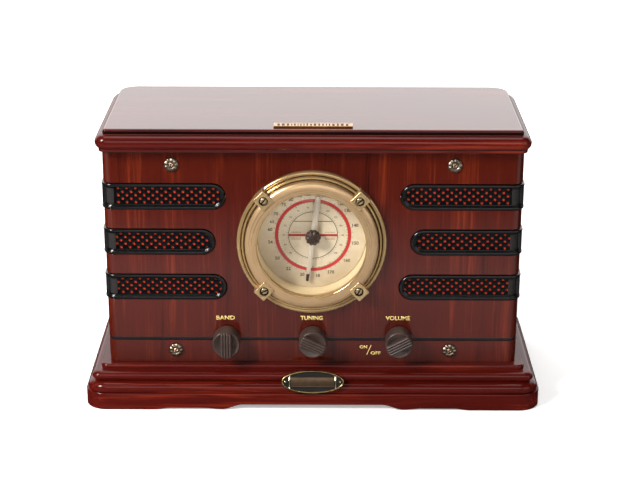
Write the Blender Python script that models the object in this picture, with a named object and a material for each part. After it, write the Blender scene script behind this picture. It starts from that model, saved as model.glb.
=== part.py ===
"""Table radio in a moulded, lacquered wooden case: round dial, wrap-round grilles, three knobs. Millimetres below, metres in the scene."""

import math

import bmesh
import bpy
from mathutils import Matrix, Vector

MM = 0.001
PANEL_Y = -64.264  # front face of the case, placed so that the whole is centred on y = 0
GAP = 0.3

# case
BODY_HW = 181.0
BODY_Z0, BODY_Z1 = 38.3, 234.4
BODY_BACK = -146.2  # depth co-ordinates q are measured forward from the front face
PANEL_T = 12.0
CORNER_R = 9.0

# grilles
SLOT_Z = {"upper": 192.7, "middle": 151.4, "lower": 109.6}
SLOT_IN = {"upper": 75.6, "middle": 85.0, "lower": 75.6}
SLOT_HH = 11.45
SLOT_END_Q = -30.0
ARC = math.pi / 2 * CORNER_R
FLAT_U = BODY_HW - CORNER_R
END_U = FLAT_U + ARC + (-CORNER_R - SLOT_END_Q)

# dial
DIAL_Z = 152.5
BEZEL = (-1.1, 151.4)  # the bezel sits a little off the pointer's axis
HOLE_R = 50.3
DRUM_R = 24.5
PULLEY_R = DRUM_R / 3.0
PULLEY_Q = -25.5

# controls
KNOB_Z = 61.3
KNOB_X = {"band": -76.0, "tuning": 0.0, "volume": 76.0}
KNOB_R = 12.2
KNOB_FRONT = 20.6
BAR_ANGLE = {"band": 90.0, "tuning": -25.0, "volume": 28.0}

# base
BASE_OUT = 21.0
BASE_IN = 1.5  # how much less the base stands out in front than at the sides
BASE_BACK = -150.0
BASE_R = 19.0
SKIRT_TOP = 15.3
SKIRT_T = 14.0

for old in list(bpy.data.objects):
    bpy.data.objects.remove(old, do_unlink=True)
scene = bpy.context.scene


def material(name, rgb, rough, metal=0.0, alpha=1.0, coat=0.0):
    m = bpy.data.materials.new(name)
    m.use_nodes = True
    p = m.node_tree.nodes["Principled BSDF"]
    p.inputs["Base Color"].default_value = (*rgb, 1.0)
    p.inputs["Roughness"].default_value = rough
    p.inputs["Metallic"].default_value = metal
    p.inputs["Alpha"].default_value = alpha
    p.inputs["Coat Weight"].default_value = coat
    m.diffuse_color = (*rgb, 1.0)
    return m


def finish(name, bm, look, origin=(0, 0, 0)):
    """Writes a bmesh in millimetres as an object in metres, closed and facing out, with its origin at the given point."""
    bmesh.ops.recalc_face_normals(bm, faces=bm.faces)
    if bm.calc_volume(signed=True) < 0:
        bmesh.ops.reverse_faces(bm, faces=bm.faces)
    bmesh.ops.transform(
        bm,
        matrix=Matrix.Scale(MM, 4) @ Matrix.Translation(-Vector(origin)),
        verts=bm.verts,
    )
    mesh = bpy.data.meshes.new(name)
    bm.to_mesh(mesh)
    bm.free()
    obj = bpy.data.objects.new(name, mesh)
    obj.location = Vector(origin) * MM
    scene.collection.objects.link(obj)
    if look is not None:
        mesh.materials.append(look)
    return obj


def bm_loft(loops, closed=False):
    """Skins loops of equal length. Caps the two ends, or joins the last loop to the first."""
    bm = bmesh.new()
    rows = [[bm.verts.new(p) for p in loop] for loop in loops]
    n = len(rows[0])
    pairs = list(zip(rows, rows[1:]))
    if closed:
        pairs.append((rows[-1], rows[0]))
    for a, b in pairs:
        for i in range(n):
            j = (i + 1) % n
            bm.faces.new((a[i], a[j], b[j], b[i]))
    if not closed:
        bm.faces.new(rows[0])
        bm.faces.new(list(reversed(rows[-1])))
    return bm


def ring_points(centre, r, q, seg, phase=0.0):
    """A circle about an axis along y: centre is (x, z) and q its depth."""
    return [
        (
            centre[0] + r * math.cos(2 * math.pi * (i + phase) / seg),
            PANEL_Y - q,
            centre[1] + r * math.sin(2 * math.pi * (i + phase) / seg),
        )
        for i in range(seg)
    ]


def bm_lathe(centre, profile, seg, hollow=False):
    """Turns a profile of (radius, q) about an axis along y. A hollow profile closes on itself; a solid one starts and ends on the axis."""
    if hollow:
        return bm_loft([ring_points(centre, r, q, seg) for r, q in profile], closed=True)
    inner = [p for p in profile if p[0] > 1e-6]
    bm = bm_loft([ring_points(centre, r, q, seg) for r, q in inner])
    return bm


def bm_prism(points, low, high, place):
    """Extrudes a 2-D outline from low to high; place turns (a, b, depth) into x, y, z."""
    return bm_loft([[place(a, b, low) for a, b in points], [place(a, b, high) for a, b in points]])


def front(a, b, q):
    return (a, PANEL_Y - q, b)


def plan(x, q, z):
    return (x, PANEL_Y - q, z)


def side(q, z, x):
    return (x, PANEL_Y - q, z)


def bm_box(x0, x1, q0, q1, z0, z1):
    return bm_prism([(x0, q0), (x1, q0), (x1, q1), (x0, q1)], z0, z1, plan)


def arc(cx, cy, r, a0, a1, n):
    return [
        (
            cx + r * math.cos(math.radians(a0 + (a1 - a0) * i / n)),
            cy + r * math.sin(math.radians(a0 + (a1 - a0) * i / n)),
        )
        for i in range(n + 1)
    ]


def rounded(x0, x1, q0, q1, r_back, r_front, n=6):
    """Plan outline of a rectangle, q1 at the front, with its own radius at the back and the front corners."""
    rb, rf = max(r_back, 0.3), max(r_front, 0.3)
    return (
        arc(x1 - rb, q0 + rb, rb, -90, 0, n)
        + arc(x1 - rf, q1 - rf, rf, 0, 90, n)
        + arc(x0 + rf, q1 - rf, rf, 90, 180, n)
        + arc(x0 + rb, q0 + rb, rb, 180, 270, n)
    )


def cut(obj, cutters, operation="DIFFERENCE"):
    """Applies exact Booleans and drops the cutters."""
    graph_objs = []
    for bm in cutters:
        other = finish("cutter", bm, None)
        other.hide_render = True
        other.display_type = "WIRE"
        mod = obj.modifiers.new("cut", "BOOLEAN")
        mod.operation = operation
        mod.solver = "EXACT"
        mod.object = other
        graph_objs.append(other)
    bpy.context.view_layer.update()
    graph = bpy.context.evaluated_depsgraph_get()
    new = bpy.data.meshes.new_from_object(obj.evaluated_get(graph))
    obj.modifiers.clear()
    old = obj.data
    looks = [m for m in old.materials]
    obj.data = new
    new.name = obj.name
    new.materials.clear()
    for m in looks[:1]:
        new.materials.append(m)
    for poly in new.polygons:
        poly.material_index = 0
    bpy.data.meshes.remove(old)
    for other in graph_objs:
        bpy.data.objects.remove(other, do_unlink=True)
    bm = bmesh.new()
    bm.from_mesh(new)
    bmesh.ops.remove_doubles(bm, verts=bm.verts, dist=2e-7)
    bmesh.ops.dissolve_degenerate(bm, edges=bm.edges, dist=1e-7)
    bm.to_mesh(new)
    bm.free()
    return obj


wood_front = material("front_veneer", (0.13, 0.022, 0.010), 0.22, coat=0.9)
wood_mould = material("moulding_wood", (0.11, 0.014, 0.008), 0.20, coat=0.9)
board = material("rear_board", (0.045, 0.022, 0.014), 0.75)
black = material("grille_black", (0.006, 0.006, 0.007), 0.16)
screen = material("grille_screen", (0.30, 0.02, 0.008), 0.6)
brass = material("bezel_brass", (0.62, 0.47, 0.25), 0.28, 1.0)
steel = material("screw_steel", (0.62, 0.60, 0.55), 0.3, 1.0)
pewter = material("stud_pewter", (0.30, 0.26, 0.22), 0.35, 1.0)
face_look = material("dial_cream", (0.70, 0.58, 0.36), 0.4)
lens_look = material("lens_clear", (0.95, 0.95, 0.93), 0.03, alpha=0.25)
pointer_look = material("pointer_grey", (0.60, 0.58, 0.52), 0.3)
hub_look = material("hub_brown", (0.05, 0.03, 0.02), 0.35)
knob_look = material("knob_brown", (0.055, 0.038, 0.030), 0.38)
pan_look = material("pan_tin", (0.55, 0.45, 0.28), 0.45, 0.6)
drum_look = material("drum_plastic", (0.75, 0.73, 0.68), 0.5)
cord_look = material("cord_nylon", (0.55, 0.50, 0.40), 0.8)
can_look = material("tuner_tin", (0.60, 0.60, 0.60), 0.4, 1.0)
switch_look = material("switch_phenolic", (0.10, 0.07, 0.05), 0.6)
speaker_look = material("speaker_steel", (0.09, 0.09, 0.10), 0.5, 0.7)
pcb_look = material("board_green", (0.02, 0.16, 0.06), 0.5)
trans_look = material("transformer_iron", (0.12, 0.12, 0.13), 0.6, 0.8)
ferrite_look = material("ferrite_grey", (0.05, 0.05, 0.055), 0.55)
inlet_look = material("inlet_black", (0.015, 0.015, 0.016), 0.45)
lamp_look = material("lamp_glass", (0.95, 0.85, 0.6), 0.15)
badge_look = material("badge_brass", (0.35, 0.29, 0.17), 0.4, 1.0)
plate_look = material("plate_brass", (0.30, 0.18, 0.08), 0.35, 1.0)

# ---- case -------------------------------------------------------------------


def slot_outline(hh, u0, u1, n=10):
    """Outline of a slot with a half-round inner end at u0 and an open, square end at u1."""
    return arc(u0 + hh, 0, hh, 90, 270, n) + [(u1, -hh), (u1, hh)]


def sgn(points, s, z):
    return [(s * u, v + z) for u, v in points]


panel_plan = (
    [(BODY_HW, -PANEL_T)]
    + arc(BODY_HW - CORNER_R, -CORNER_R, CORNER_R, 0, 90, 6)
    + arc(-BODY_HW + CORNER_R, -CORNER_R, CORNER_R, 90, 180, 6)
    + [(-BODY_HW, -PANEL_T)]
)
front_panel = finish("front_panel", bm_prism(panel_plan, BODY_Z0, BODY_Z1, plan), wood_front)
cutters = [bm_lathe(BEZEL, [(HOLE_R, 3), (HOLE_R, -15)], 44)]
for name, x in KNOB_X.items():
    cutters.append(bm_lathe((x, KNOB_Z), [(5.1, 3), (5.1, -15)], 16))
for s in (-1, 1):
    for row, z in SLOT_Z.items():
        outline = slot_outline(SLOT_HH + GAP, SLOT_IN[row] - GAP, 192.0)
        cutters.append(bm_prism(sgn(outline, s, z), -15, 4, front))
groove = (
    [(BODY_HW + 3, -20)]
    + [(BODY_HW + 3, 3), (-BODY_HW - 3, 3)]
    + [(-BODY_HW - 3, -20), (-BODY_HW + 0.8, -20)]
    + arc(-BODY_HW + CORNER_R, -CORNER_R, CORNER_R - 0.8, 180, 90, 6)
    + arc(BODY_HW - CORNER_R, -CORNER_R, CORNER_R - 0.8, 90, 0, 6)
    + [(BODY_HW - 0.8, -20)]
)
cutters.append(bm_prism(groove, 58.9, 61.9, plan))
cut(front_panel, cutters)

SCREW_AT = [(s * 174.5, z) for s in (-1, 1) for z in (60.0, 212.0)]
for s, word in ((-1, "left"), (1, "right")):
    x_in, x_out = s * (BODY_HW - PANEL_T), s * BODY_HW
    panel = finish(
        f"side_{word}",
        bm_box(min(x_in, x_out), max(x_in, x_out), BODY_BACK, -PANEL_T - GAP, BODY_Z0, BODY_Z1),
        wood_front,
    )
    cutters = []
    for z in SLOT_Z.values():
        end = SLOT_END_Q + SLOT_HH
        outline = arc(end, z, SLOT_HH + GAP, 90, 270, 10) + [
            (-5, z - SLOT_HH - GAP),
            (-5, z + SLOT_HH + GAP),
        ]
        cutters.append(bm_prism(outline, min(x_in, x_out) - 4, max(x_in, x_out) + 4, side))
    lo, hi = sorted((x_out - s * 0.8, x_out + s * 3))
    cutters.append(bm_box(lo, hi, BODY_BACK - 3, 0, 58.9, 61.9))
    for x, z in SCREW_AT:
        if x * s > 0:
            cutters.append(bm_lathe((x, z), [(1.9, BODY_BACK + 12), (1.9, BODY_BACK - 4)], 12))
    cut(panel, cutters)

# top: strip, bullnose, ledge, fillet with an eased arris
TOP_Z = 234.7
bull = [
    (4.5 - 6.25 + 6.25 * math.cos(math.radians(a)), 8.25 + 6.25 * math.sin(math.radians(a)))
    for a in (-58, -30, 0, 30, 58, 88)
]
top_profile = (
    [(1.2, 0.0), (1.5, 2.2)]
    + bull
    + [(-2.5, 14.7), (-2.5, 17.5), (-3.2, 18.8), (-4.6, 19.3)]
)
loops = []
for s, z in top_profile:
    over = max(0.0, s + 2.5)
    loops.append(
        [
            plan(x, q, TOP_Z + z)
            for x, q in rounded(
                -BODY_HW - s, BODY_HW + s, BODY_BACK - s, s + 8.2, 15 + over, 3.0 + over, 5
            )
        ]
    )
finish("top_board", bm_loft(loops), wood_mould)

# base board: second roundover, ledge, bead, fillet
base_profile = (
    [(19.0, 15.6, 16.5), (19.4, 18.6, 16.5), (18.5, 21.3, 16.0), (16.3, 23.3, 15.0), (13.4, 24.0, 12.0)]
    + [
        (10.35 + 4.45 * math.cos(math.radians(a)), 28.6 + 4.4 * math.sin(math.radians(a)), 7.0)
        for a in (-62, -30, 0, 30, 62, 86)
    ]
    + [(7.1, 33.4, 6.5), (7.3, 35.6, 6.5), (6.7, 37.3, 6.5), (5.6, 38.0, 6.0)]
)
loops = []
for s, z, r in base_profile:
    loops.append(
        [
            plan(x, q, z)
            for x, q in rounded(
                -BODY_HW - s,
                BODY_HW + s,
                BODY_BACK - min(s, 3.8),
                s - (BASE_IN if s > 9 else 1.0),
                3.0,
                r,
                5,
            )
        ]
    )
plinth = finish("plinth_board", bm_loft(loops), wood_mould)

# badge lies on the mouldings, leaning back
BADGE_LEAN = math.radians(15.0)
BADGE_C = (17.2, 26.5)  # q and z of the middle of its back


def badge_place(a, b, n):
    q = BADGE_C[0] + n * math.cos(BADGE_LEAN) - b * math.sin(BADGE_LEAN)
    z = BADGE_C[1] + n * math.sin(BADGE_LEAN) + b * math.cos(BADGE_LEAN)
    return (a, PANEL_Y - q, z)


def ellipse(a, b, n=28):
    return [(a * math.cos(2 * math.pi * i / n), b * math.sin(2 * math.pi * i / n)) for i in range(n)]


cut(plinth, [bm_prism(ellipse(28.4, 10.9), -0.3, 14, badge_place)])
badge_loops = [(28.0, 10.5, 0.0), (28.0, 10.5, 1.9), (27.4, 9.9, 2.6), (26.4, 8.9, 2.6), (25.9, 8.4, 0.9)]
finish(
    "badge",
    bm_loft([[badge_place(a, b, n) for a, b in ellipse(ra, rb)] for ra, rb, n in badge_loops]),
    badge_look,
)


# skirt rails under the base board
def rail(name, outer, inner):
    return finish(name, bm_prism(outer + list(reversed(inner)), 0.0, SKIRT_TOP, plan), wood_mould)


hw, qf = BODY_HW + BASE_OUT, BASE_OUT - BASE_IN
cr, it = BASE_R, SKIRT_T
cut_a = 0.6
front_outer = arc(hw - cr, qf - cr, cr, 45 + cut_a, 90, 5) + arc(-hw + cr, qf - cr, cr, 90, 135 - cut_a, 5)
front_inner = arc(hw - cr, qf - cr, cr - it, 45 + cut_a, 90, 5) + arc(-hw + cr, qf - cr, cr - it, 90, 135 - cut_a, 5)
skirt = rail("skirt_front", front_outer, front_inner)


def smooth(t):
    t = max(0.0, min(1.0, t))
    return t * t * (3 - 2 * t)


def arch_height(x, spans):
    """Height of the lower edge: each span is (from, to, low, high), easing between levels going inward."""
    h = 0.0
    for a, b, low, high in spans:
        if abs(x) <= a:
            h = low + (high - low) * smooth((a - abs(x)) / (a - b))
    return h


FRONT_SPANS = [(140.0, 126.0, 0.0, 1.5), (96.0, 82.0, 1.5, 0.5), (80.0, 62.0, 0.5, 5.0)]
xs = [140, 136.5, 133, 129.5, 126, 96, 92, 89, 86, 82, 78, 74.5, 71, 67.5, 65, 62]
edge = [(x, arch_height(x, FRONT_SPANS)) for x in xs]
outline = [(-x, h) for x, h in edge] + [(x, h) for x, h in reversed(edge)] + [(140.0, -4.0), (-140.0, -4.0)]
outline = [(x, max(h, 0.0) if h >= 0 else h) for x, h in outline]
cut(skirt, [bm_prism(outline, -5, 25, front)])

for s, word in ((-1, "left"), (1, "right")):
    a0, a1 = (45 - cut_a, 0) if s > 0 else (135 + cut_a, 180)
    outer = arc(s * (hw - cr), qf - cr, cr, a0, a1, 5) + [(s * hw, BASE_BACK + 3), (s * (hw - 0.9), BASE_BACK + 0.9), (s * (hw - 3), BASE_BACK)]
    inner = arc(s * (hw - cr), qf - cr, cr - it, a0, a1, 5) + [(s * (hw - it), BASE_BACK + 0.9), (s * (hw - it) + s * 0.05, BASE_BACK + 0.5), (s * (hw - it) + s * 0.1, BASE_BACK)]
    skirt = rail(f"skirt_{word}", outer, inner)
    edge = [(q, 4.0 * smooth((38 - abs(q + 68)) / 14)) for q in (-30, -33.5, -37, -40.5, -44, -92, -95.5, -99, -102.5, -106)]
    outline = edge + [(-106, -4.0), (-30, -4.0)]
    lo, hi = sorted((s * (hw - it - 4), s * (hw + 4)))
    cut(skirt, [bm_prism(outline, lo, hi, side)])
finish(
    "skirt_rear",
    bm_box(-hw + it + GAP, hw - it - GAP, BASE_BACK + 0.4, BASE_BACK + it, 0.0, SKIRT_TOP),
    wood_mould,
)

# rear cover, its vents and screws
COVER_Q0, COVER_Q1 = -149.4, -146.5
cover = finish(
    "rear_cover",
    bm_prism(rounded(-180.6, 180.6, 38.8, 234.2, 3, 3, 2), COVER_Q0, COVER_Q1, front),
    board,
)
cutters = []
for cx in (-95.0, 95.0):
    for k in range(7):
        z = 190.0 - 11.0 * k
        cutters.append(
            bm_prism(
                arc(cx + 28, z, 2.0, -90, 90, 3) + arc(cx - 28, z, 2.0, 90, 270, 3),
                COVER_Q0 - 3,
                COVER_Q1 + 3,
                front,
            )
        )
for x, z in SCREW_AT:
    cutters.append(bm_lathe((x, z), [(2.0, COVER_Q1 + 3), (2.0, COVER_Q0 - 3)], 12))
cutters.append(bm_prism([(98, 58), (122, 58), (122, 72), (98, 72)], COVER_Q0 - 3, COVER_Q1 + 3, front))
cut(cover, cutters)
for k, (x, z) in enumerate(SCREW_AT):
    screw = finish(
        f"rear_screw_{k + 1}",
        bm_lathe(
            (x, z),
            [(1.0, -135.5), (1.5, -136.5), (1.5, -149.6), (3.4, -149.6), (3.2, -150.1), (1.8, -150.8)],
            12,
        ),
        steel,
    )

inlet = finish(
    "mains_inlet",
    bm_loft(
        [
            [front(110 + a * w, 65 + b * h, q) for a, b in ((-1, -1), (1, -1), (1, 1), (-1, 1))]
            for w, h, q in ((10.5, 5.5, -128.0), (10.5, 5.5, -143.0), (14, 9, -143.0), (14, 9, -146.1), (11.6, 6.6, -146.1), (11.6, 6.6, -149.2))
        ]
    ),
    inlet_look,
)
cut(
    inlet,
    [
        bm_prism(arc(112.0, 65, 4.4, -90, 90, 6) + arc(108.0, 65, 4.4, 90, 270, 6), -152, -139, front),
    ],
)

# ---- grilles ----------------------------------------------------------------


def wrap(bm, s, z):
    """Bends flat (u, v, n) geometry round the case: along the front, round the corner, back along the side."""
    for k in range(5):
        u = FLAT_U + ARC * k / 4
        bmesh.ops.bisect_plane(
            bm,
            geom=bm.verts[:] + bm.edges[:] + bm.faces[:],
            dist=1e-5,
            plane_co=(u, 0, 0),
            plane_no=(1, 0, 0),
        )
    for vert in bm.verts:
        u, v, n = vert.co
        if u <= FLAT_U:
            x, q = u, n
        elif u <= FLAT_U + ARC:
            t = (u - FLAT_U) / CORNER_R
            x = FLAT_U + (CORNER_R + n) * math.sin(t)
            q = -CORNER_R + (CORNER_R + n) * math.cos(t)
        else:
            x, q = BODY_HW + n, -CORNER_R - (u - FLAT_U - ARC)
        vert.co = (s * x, PANEL_Y - q, v + z)
    return bm


def stadium(u0, u1, hh, d, n=6):
    r = hh - d
    return arc(u1 - hh, 0, r, -90, 90, n) + arc(u0 + hh, 0, r, 90, 270, n)


for s, word in ((-1, "left"), (1, "right")):
    for row, z in SLOT_Z.items():
        u0 = SLOT_IN[row]
        loops = [
            [(u, v, n) for u, v in stadium(u0, END_U, SLOT_HH, d)]
            for d, n in ((0.0, -8.0), (0.0, 0.9), (0.7, 1.6), (2.6, 1.6), (3.3, 1.0), (3.6, -1.3))
        ]
        flat = finish("flat_bezel", bm_loft(loops), black)

        def raw(u, v, n):
            return (u, v, n)

        back = arc(u0 + SLOT_HH, 0, SLOT_HH - 1.8, 90, 270, 6) + [(FLAT_U, -9.65), (FLAT_U, 9.65)]
        window = arc(u0 + SLOT_HH, 0, SLOT_HH - 4.1, 90, 270, 6) + [(FLAT_U - 0.8, -7.35), (FLAT_U - 0.8, 7.35)]
        cut(flat, [bm_prism(back, -9.5, -2.1, raw), bm_prism(window, -4, -0.6, raw)])
        bm = bmesh.new()
        bm.from_mesh(flat.data)
        bmesh.ops.transform(bm, matrix=Matrix.Scale(1 / MM, 4), verts=bm.verts)
        bpy.data.objects.remove(flat, do_unlink=True)
        wrap(bm, s, z)
        finish(f"grille_bezel_{row}_{word}", bm, black)
        strip = arc(u0 + SLOT_HH, 0, SLOT_HH - 2.1, 90, 270, 6) + [(FLAT_U - 0.3, -9.35), (FLAT_U - 0.3, 9.35)]
        finish(f"grille_insert_{row}_{word}", bm_prism(sgn(strip, s, z), -3.6, -2.3, front), screen)

# ---- dial -------------------------------------------------------------------

DIAL = (0.0, DIAL_Z)
bezel = finish(
    "dial_bezel",
    bm_lathe(
        BEZEL,
        [
            (65.0, 0.3), (65.0, 3.2), (64.0, 4.0), (62.3, 4.0), (61.2, 2.4), (60.7, 6.8),
            (59.1, 6.8), (58.4, 5.2), (57.5, 9.6), (54.0, 11.7), (47.4, 12.0), (46.8, 10.3),
            (48.9, 9.7), (48.9, 0.3),
        ],
        44,
        hollow=True,
    ),
    brass,
)
LUG_R = 58.3
lugs, holes = [], []
for k in range(4):
    a = math.radians(45 + 90 * k)
    cx, cz = BEZEL[0] + LUG_R * math.cos(a), BEZEL[1] + LUG_R * math.sin(a)

    def lug_place(u, v, q, a=a, cx=cx, cz=cz):
        return (cx + u * math.cos(a) - v * math.sin(a), PANEL_Y - q, cz + u * math.sin(a) + v * math.cos(a))

    square = [(-6.6, -6.2), (7.0, -6.2), (7.0, 6.2), (-6.6, 6.2)]
    small = [(-6.1, -5.7), (6.5, -5.7), (6.5, 5.7), (-6.1, 5.7)]
    lugs.append(
        bm_loft(
            [
                [lug_place(u, v, 0.31) for u, v in square],
                [lug_place(u, v, 12.5) for u, v in square],
                [lug_place(u, v, 13.1) for u, v in small],
            ]
        )
    )
    holes.append(bm_lathe((cx, cz), [(3.9, 16.0), (3.9, 11.0)], 14))
    holes.append(bm_lathe((cx, cz), [(1.9, 12.0), (1.9, -1.0)], 10))
    finish(
        f"dial_screw_{k + 1}",
        bm_lathe(
            (cx, cz),
            [(1.5, 0.4), (1.5, 11.3), (3.3, 11.3), (3.3, 12.3), (2.5, 13.0)],
            14,
        ),
        steel,
    )
cut(bezel, lugs, "UNION")
cut(bezel, holes)

finish(
    "dial_lens",
    bm_lathe(
        BEZEL,
        [
            (1.0, 12.7), (24.0, 11.7), (39.0, 9.4), (46.2, 7.4), (48.4, 7.4), (48.4, 9.3), (46.0, 9.5),
            (38.0, 11.6), (22.0, 13.7), (1.0, 14.6),
        ],
        32,
    ),
    lens_look,
)
finish(
    "dial_pan",
    bm_lathe(
        BEZEL,
        [
            (4.5, -17.2), (48.2, -17.2), (48.2, -0.2), (49.7, -0.2), (49.7, -12.4), (56.0, -12.4),
            (56.0, -14.0), (49.7, -14.0), (49.7, -19.0), (4.5, -19.0),
        ],
        32,
        hollow=True,
    ),
    pan_look,
)
finish(
    "dial_face",
    bm_lathe(BEZEL, [(4.5, -15.2), (47.8, -15.2), (47.8, -16.8), (4.5, -16.8)], 32, hollow=True),
    face_look,
)
AXIS_DIAL = (0.0, PANEL_Y, DIAL_Z)
finish(
    "dial_drum",
    bm_lathe(
        DIAL,
        [
            (1.5, -9.0), (1.5, -13.5), (2.5, -13.5), (2.5, -23.2), (25.2, -23.2), (25.2, -24.0),
            (23.6, -25.5), (25.2, -27.0), (25.2, -27.8), (2.5, -27.8), (2.5, -31.0),
        ],
        28,
    ),
    drum_look,
    AXIS_DIAL,
)
TILT = math.radians(-7.0)


def needle_place(a, b, q):
    return (a * math.cos(TILT) - b * math.sin(TILT), PANEL_Y - q, DIAL_Z + a * math.sin(TILT) + b * math.cos(TILT))


needle = [(1.4, -42.0), (2.1, -5.0), (3.6, -3.2), (3.6, 3.2), (2.9, 5.0), (2.5, 36.0), (1.9, 37.0), (-1.9, 37.0), (-2.5, 36.0), (-2.9, 5.0), (-3.6, 3.2), (-3.6, -3.2), (-2.1, -5.0), (-1.4, -42.0)]
pointer = finish("pointer", bm_prism(needle, -12.6, -11.4, needle_place), pointer_look)
cut(pointer, [bm_lathe(DIAL, [(1.8, -10), (1.8, -14)], 12)])
pointer.data.transform(Matrix.Translation(-Vector(AXIS_DIAL) * MM))
pointer.location = Vector(AXIS_DIAL) * MM
hub = finish(
    "pointer_hub",
    bm_lathe(DIAL, [(6.5, -11.0), (6.4, -6.2), (5.6, -4.9), (3.6, -4.3), (0.8, -4.1)], 24),
    hub_look,
)
cut(hub, [bm_lathe(DIAL, [(1.8, -12), (1.8, -8.5)], 12)])
hub.data.transform(Matrix.Translation(-Vector(AXIS_DIAL) * MM))
hub.location = Vector(AXIS_DIAL) * MM

# dial cord: an open loop round the drum and the tuning pulley
gap_z = DIAL_Z - KNOB_Z
lean = math.degrees(math.asin((DRUM_R - PULLEY_R) / gap_z))
path = [(x, z + DIAL_Z) for x, z in arc(0, 0, DRUM_R, -lean, 180 + lean, 18)]
path += [(x, z + KNOB_Z) for x, z in arc(0, 0, PULLEY_R, 180 + lean, 360 - lean, 8)]
loops = []
for i, (x, z) in enumerate(path):
    px, pz = path[i - 1]
    nx, nz = path[(i + 1) % len(path)]
    d = Vector((nx - px, nz - pz)).normalized()
    out = Vector((d.y, -d.x))
    loops.append(
        [
            front(
                x + out.x * 0.45 * math.cos(math.radians(72 * k + 18)),
                z + out.y * 0.45 * math.cos(math.radians(72 * k + 18)),
                PULLEY_Q + 0.45 * math.sin(math.radians(72 * k + 18)),
            )
            for k in range(5)
        ]
    )
finish("dial_cord", bm_loft(loops, closed=True), cord_look)

lamp_c = (-34.0, DIAL_Z + 30.0)
finish(
    "dial_lamp",
    bm_lathe(
        lamp_c,
        [(4.2, -19.4), (4.2, -27.0), (5.0, -27.0), (5.0, -33.0), (2.0, -35.0)],
        16,
    ),
    lamp_look,
)

# ---- controls ---------------------------------------------------------------

for word, x in KNOB_X.items():
    centre = (x, KNOB_Z)
    axis_point = (x, PANEL_Y, KNOB_Z)
    knob = finish(
        f"knob_{word}",
        bm_lathe(
            centre,
            [(11.6, 0.9), (12.1, 1.8), (12.2, 15.6), (11.5, 17.2), (7.0, 15.2)],
            28,
        ),
        knob_look,
    )
    ang = math.radians(BAR_ANGLE[word])

    def bar_place(a, b, q, x=x, ang=ang):
        return (x + a * math.cos(ang) - b * math.sin(ang), PANEL_Y - q, KNOB_Z + a * math.sin(ang) + b * math.cos(ang))

    def bar_outline(r, h):
        t = math.degrees(math.asin(h / r))
        return arc(0, 0, r, -t, t, 3) + arc(0, 0, r, 180 - t, 180 + t, 3)

    bar = bm_loft(
        [
            [bar_place(a, b, q) for a, b in bar_outline(r, h)]
            for r, h, q in ((11.9, 4.5, 11.0), (11.7, 4.1, 19.5), (10.6, 3.3, KNOB_FRONT))
        ]
    )
    cut(knob, [bar], "UNION")
    cut(knob, [bm_lathe(centre, [(3.3, -2.0), (3.3, 12.3)], 12)])
    knob.data.transform(Matrix.Translation(-Vector(axis_point) * MM))
    knob.location = Vector(axis_point) * MM
    if word == "tuning":
        continue
    finish(
        f"shaft_{word}",
        bm_lathe(centre, [(2.6, 12.0), (3.0, 11.6), (3.0, -20.0)], 12),
        steel,
        axis_point,
    )
    name = {"band": "band_switch", "volume": "volume_pot"}[word]
    finish(
        name,
        bm_lathe(
            centre,
            [(3.4, -0.4), (4.7, -0.4), (4.7, -12.6), (9.5, -12.6), (9.5, -29.5), (3.4, -29.5)],
            16,
            hollow=True,
        ),
        switch_look,
    )

axis_tuning = (0.0, PANEL_Y, KNOB_Z)
finish(
    "tuning_shaft",
    bm_lathe(
        (0.0, KNOB_Z),
        [
            (2.6, 12.0), (3.0, 11.6), (3.0, -23.2), (8.9, -23.2), (8.9, -24.0), (7.3, -25.5),
            (8.9, -27.0), (8.9, -27.8), (3.0, -27.8), (3.0, -42.0),
        ],
        16,
    ),
    steel,
    axis_tuning,
)
tuner = finish("tuner_can", bm_box(-20, 20, -58, -32, 39.0, 84.0), can_look)
cut(tuner, [bm_lathe((0.0, KNOB_Z), [(3.3, -30), (3.3, -45)], 16)])

# ---- inside -----------------------------------------------------------------

for s, word in ((-1, "left"), (1, "right")):
    centre = (s * 127.0, SLOT_Z["middle"])
    finish(
        f"speaker_{word}",
        bm_lathe(
            centre,
            [
                (39.5, -12.4), (39.5, -14.6), (34.0, -15.6), (19.0, -32.0), (19.0, -47.0), (9.0, -47.0),
                (9.0, -27.0), (33.0, -14.2),
            ],
            24,
            hollow=True,
        ),
        speaker_look,
    )
pcb = finish("main_board", bm_box(-125, 60, -132, -66, 46.0, 47.6), pcb_look)
cut(pcb, [bm_box(cx - 4, cx + 4, cq - 4, cq + 4, 38.5, 46.5) for cx in (-117, 52) for cq in (-124, -74)], "UNION")
finish("ferrite_rod", bm_prism(arc(-118, 53.1, 5.0, 0, 342, 19), -110, 30, side), ferrite_look)
iron = finish("transformer", bm_box(84, 140, -112, -70, 38.6, 84.0), trans_look)
cut(iron, [bm_box(92, 132, -124, -58, 46.0, 76.6)], "UNION")

# ---- trim -------------------------------------------------------------------

for k, (sx, z) in enumerate(((-1, 221.4), (1, 221.4), (-1, 49.7), (1, 49.7))):
    finish(
        f"stud_{k + 1}",
        bm_lathe(
            (sx * 121.3, z),
            [(6.0, 0.2), (6.3, 1.2), (5.0, 2.7), (3.6, 2.7), (2.4, 2.3), (1.0, 3.3)],
            16,
        ),
        pewter,
    )
finish(
    "name_plate",
    bm_loft(
        [
            [plan(x, q, z) for x, q in ((-w, -10.9 + d), (w, -10.9 + d), (w, -0.3 - d), (-w, -0.3 - d))]
            for w, d, z in ((33.65, 0.0, 254.2), (33.65, 0.0, 255.6), (33.15, 0.5, 256.1))
        ]
    ),
    plate_look,
)

for obj in scene.objects:
    if obj.type == "MESH":
        obj.data.shade_smooth()
        obj.data.set_sharp_from_angle(angle=math.radians(32))
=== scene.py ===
"""Looks of the table radio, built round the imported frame. Millimetres below, metres in the scene."""

import math

import bmesh
import bpy
from mathutils import Matrix, Vector, geometry


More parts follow.
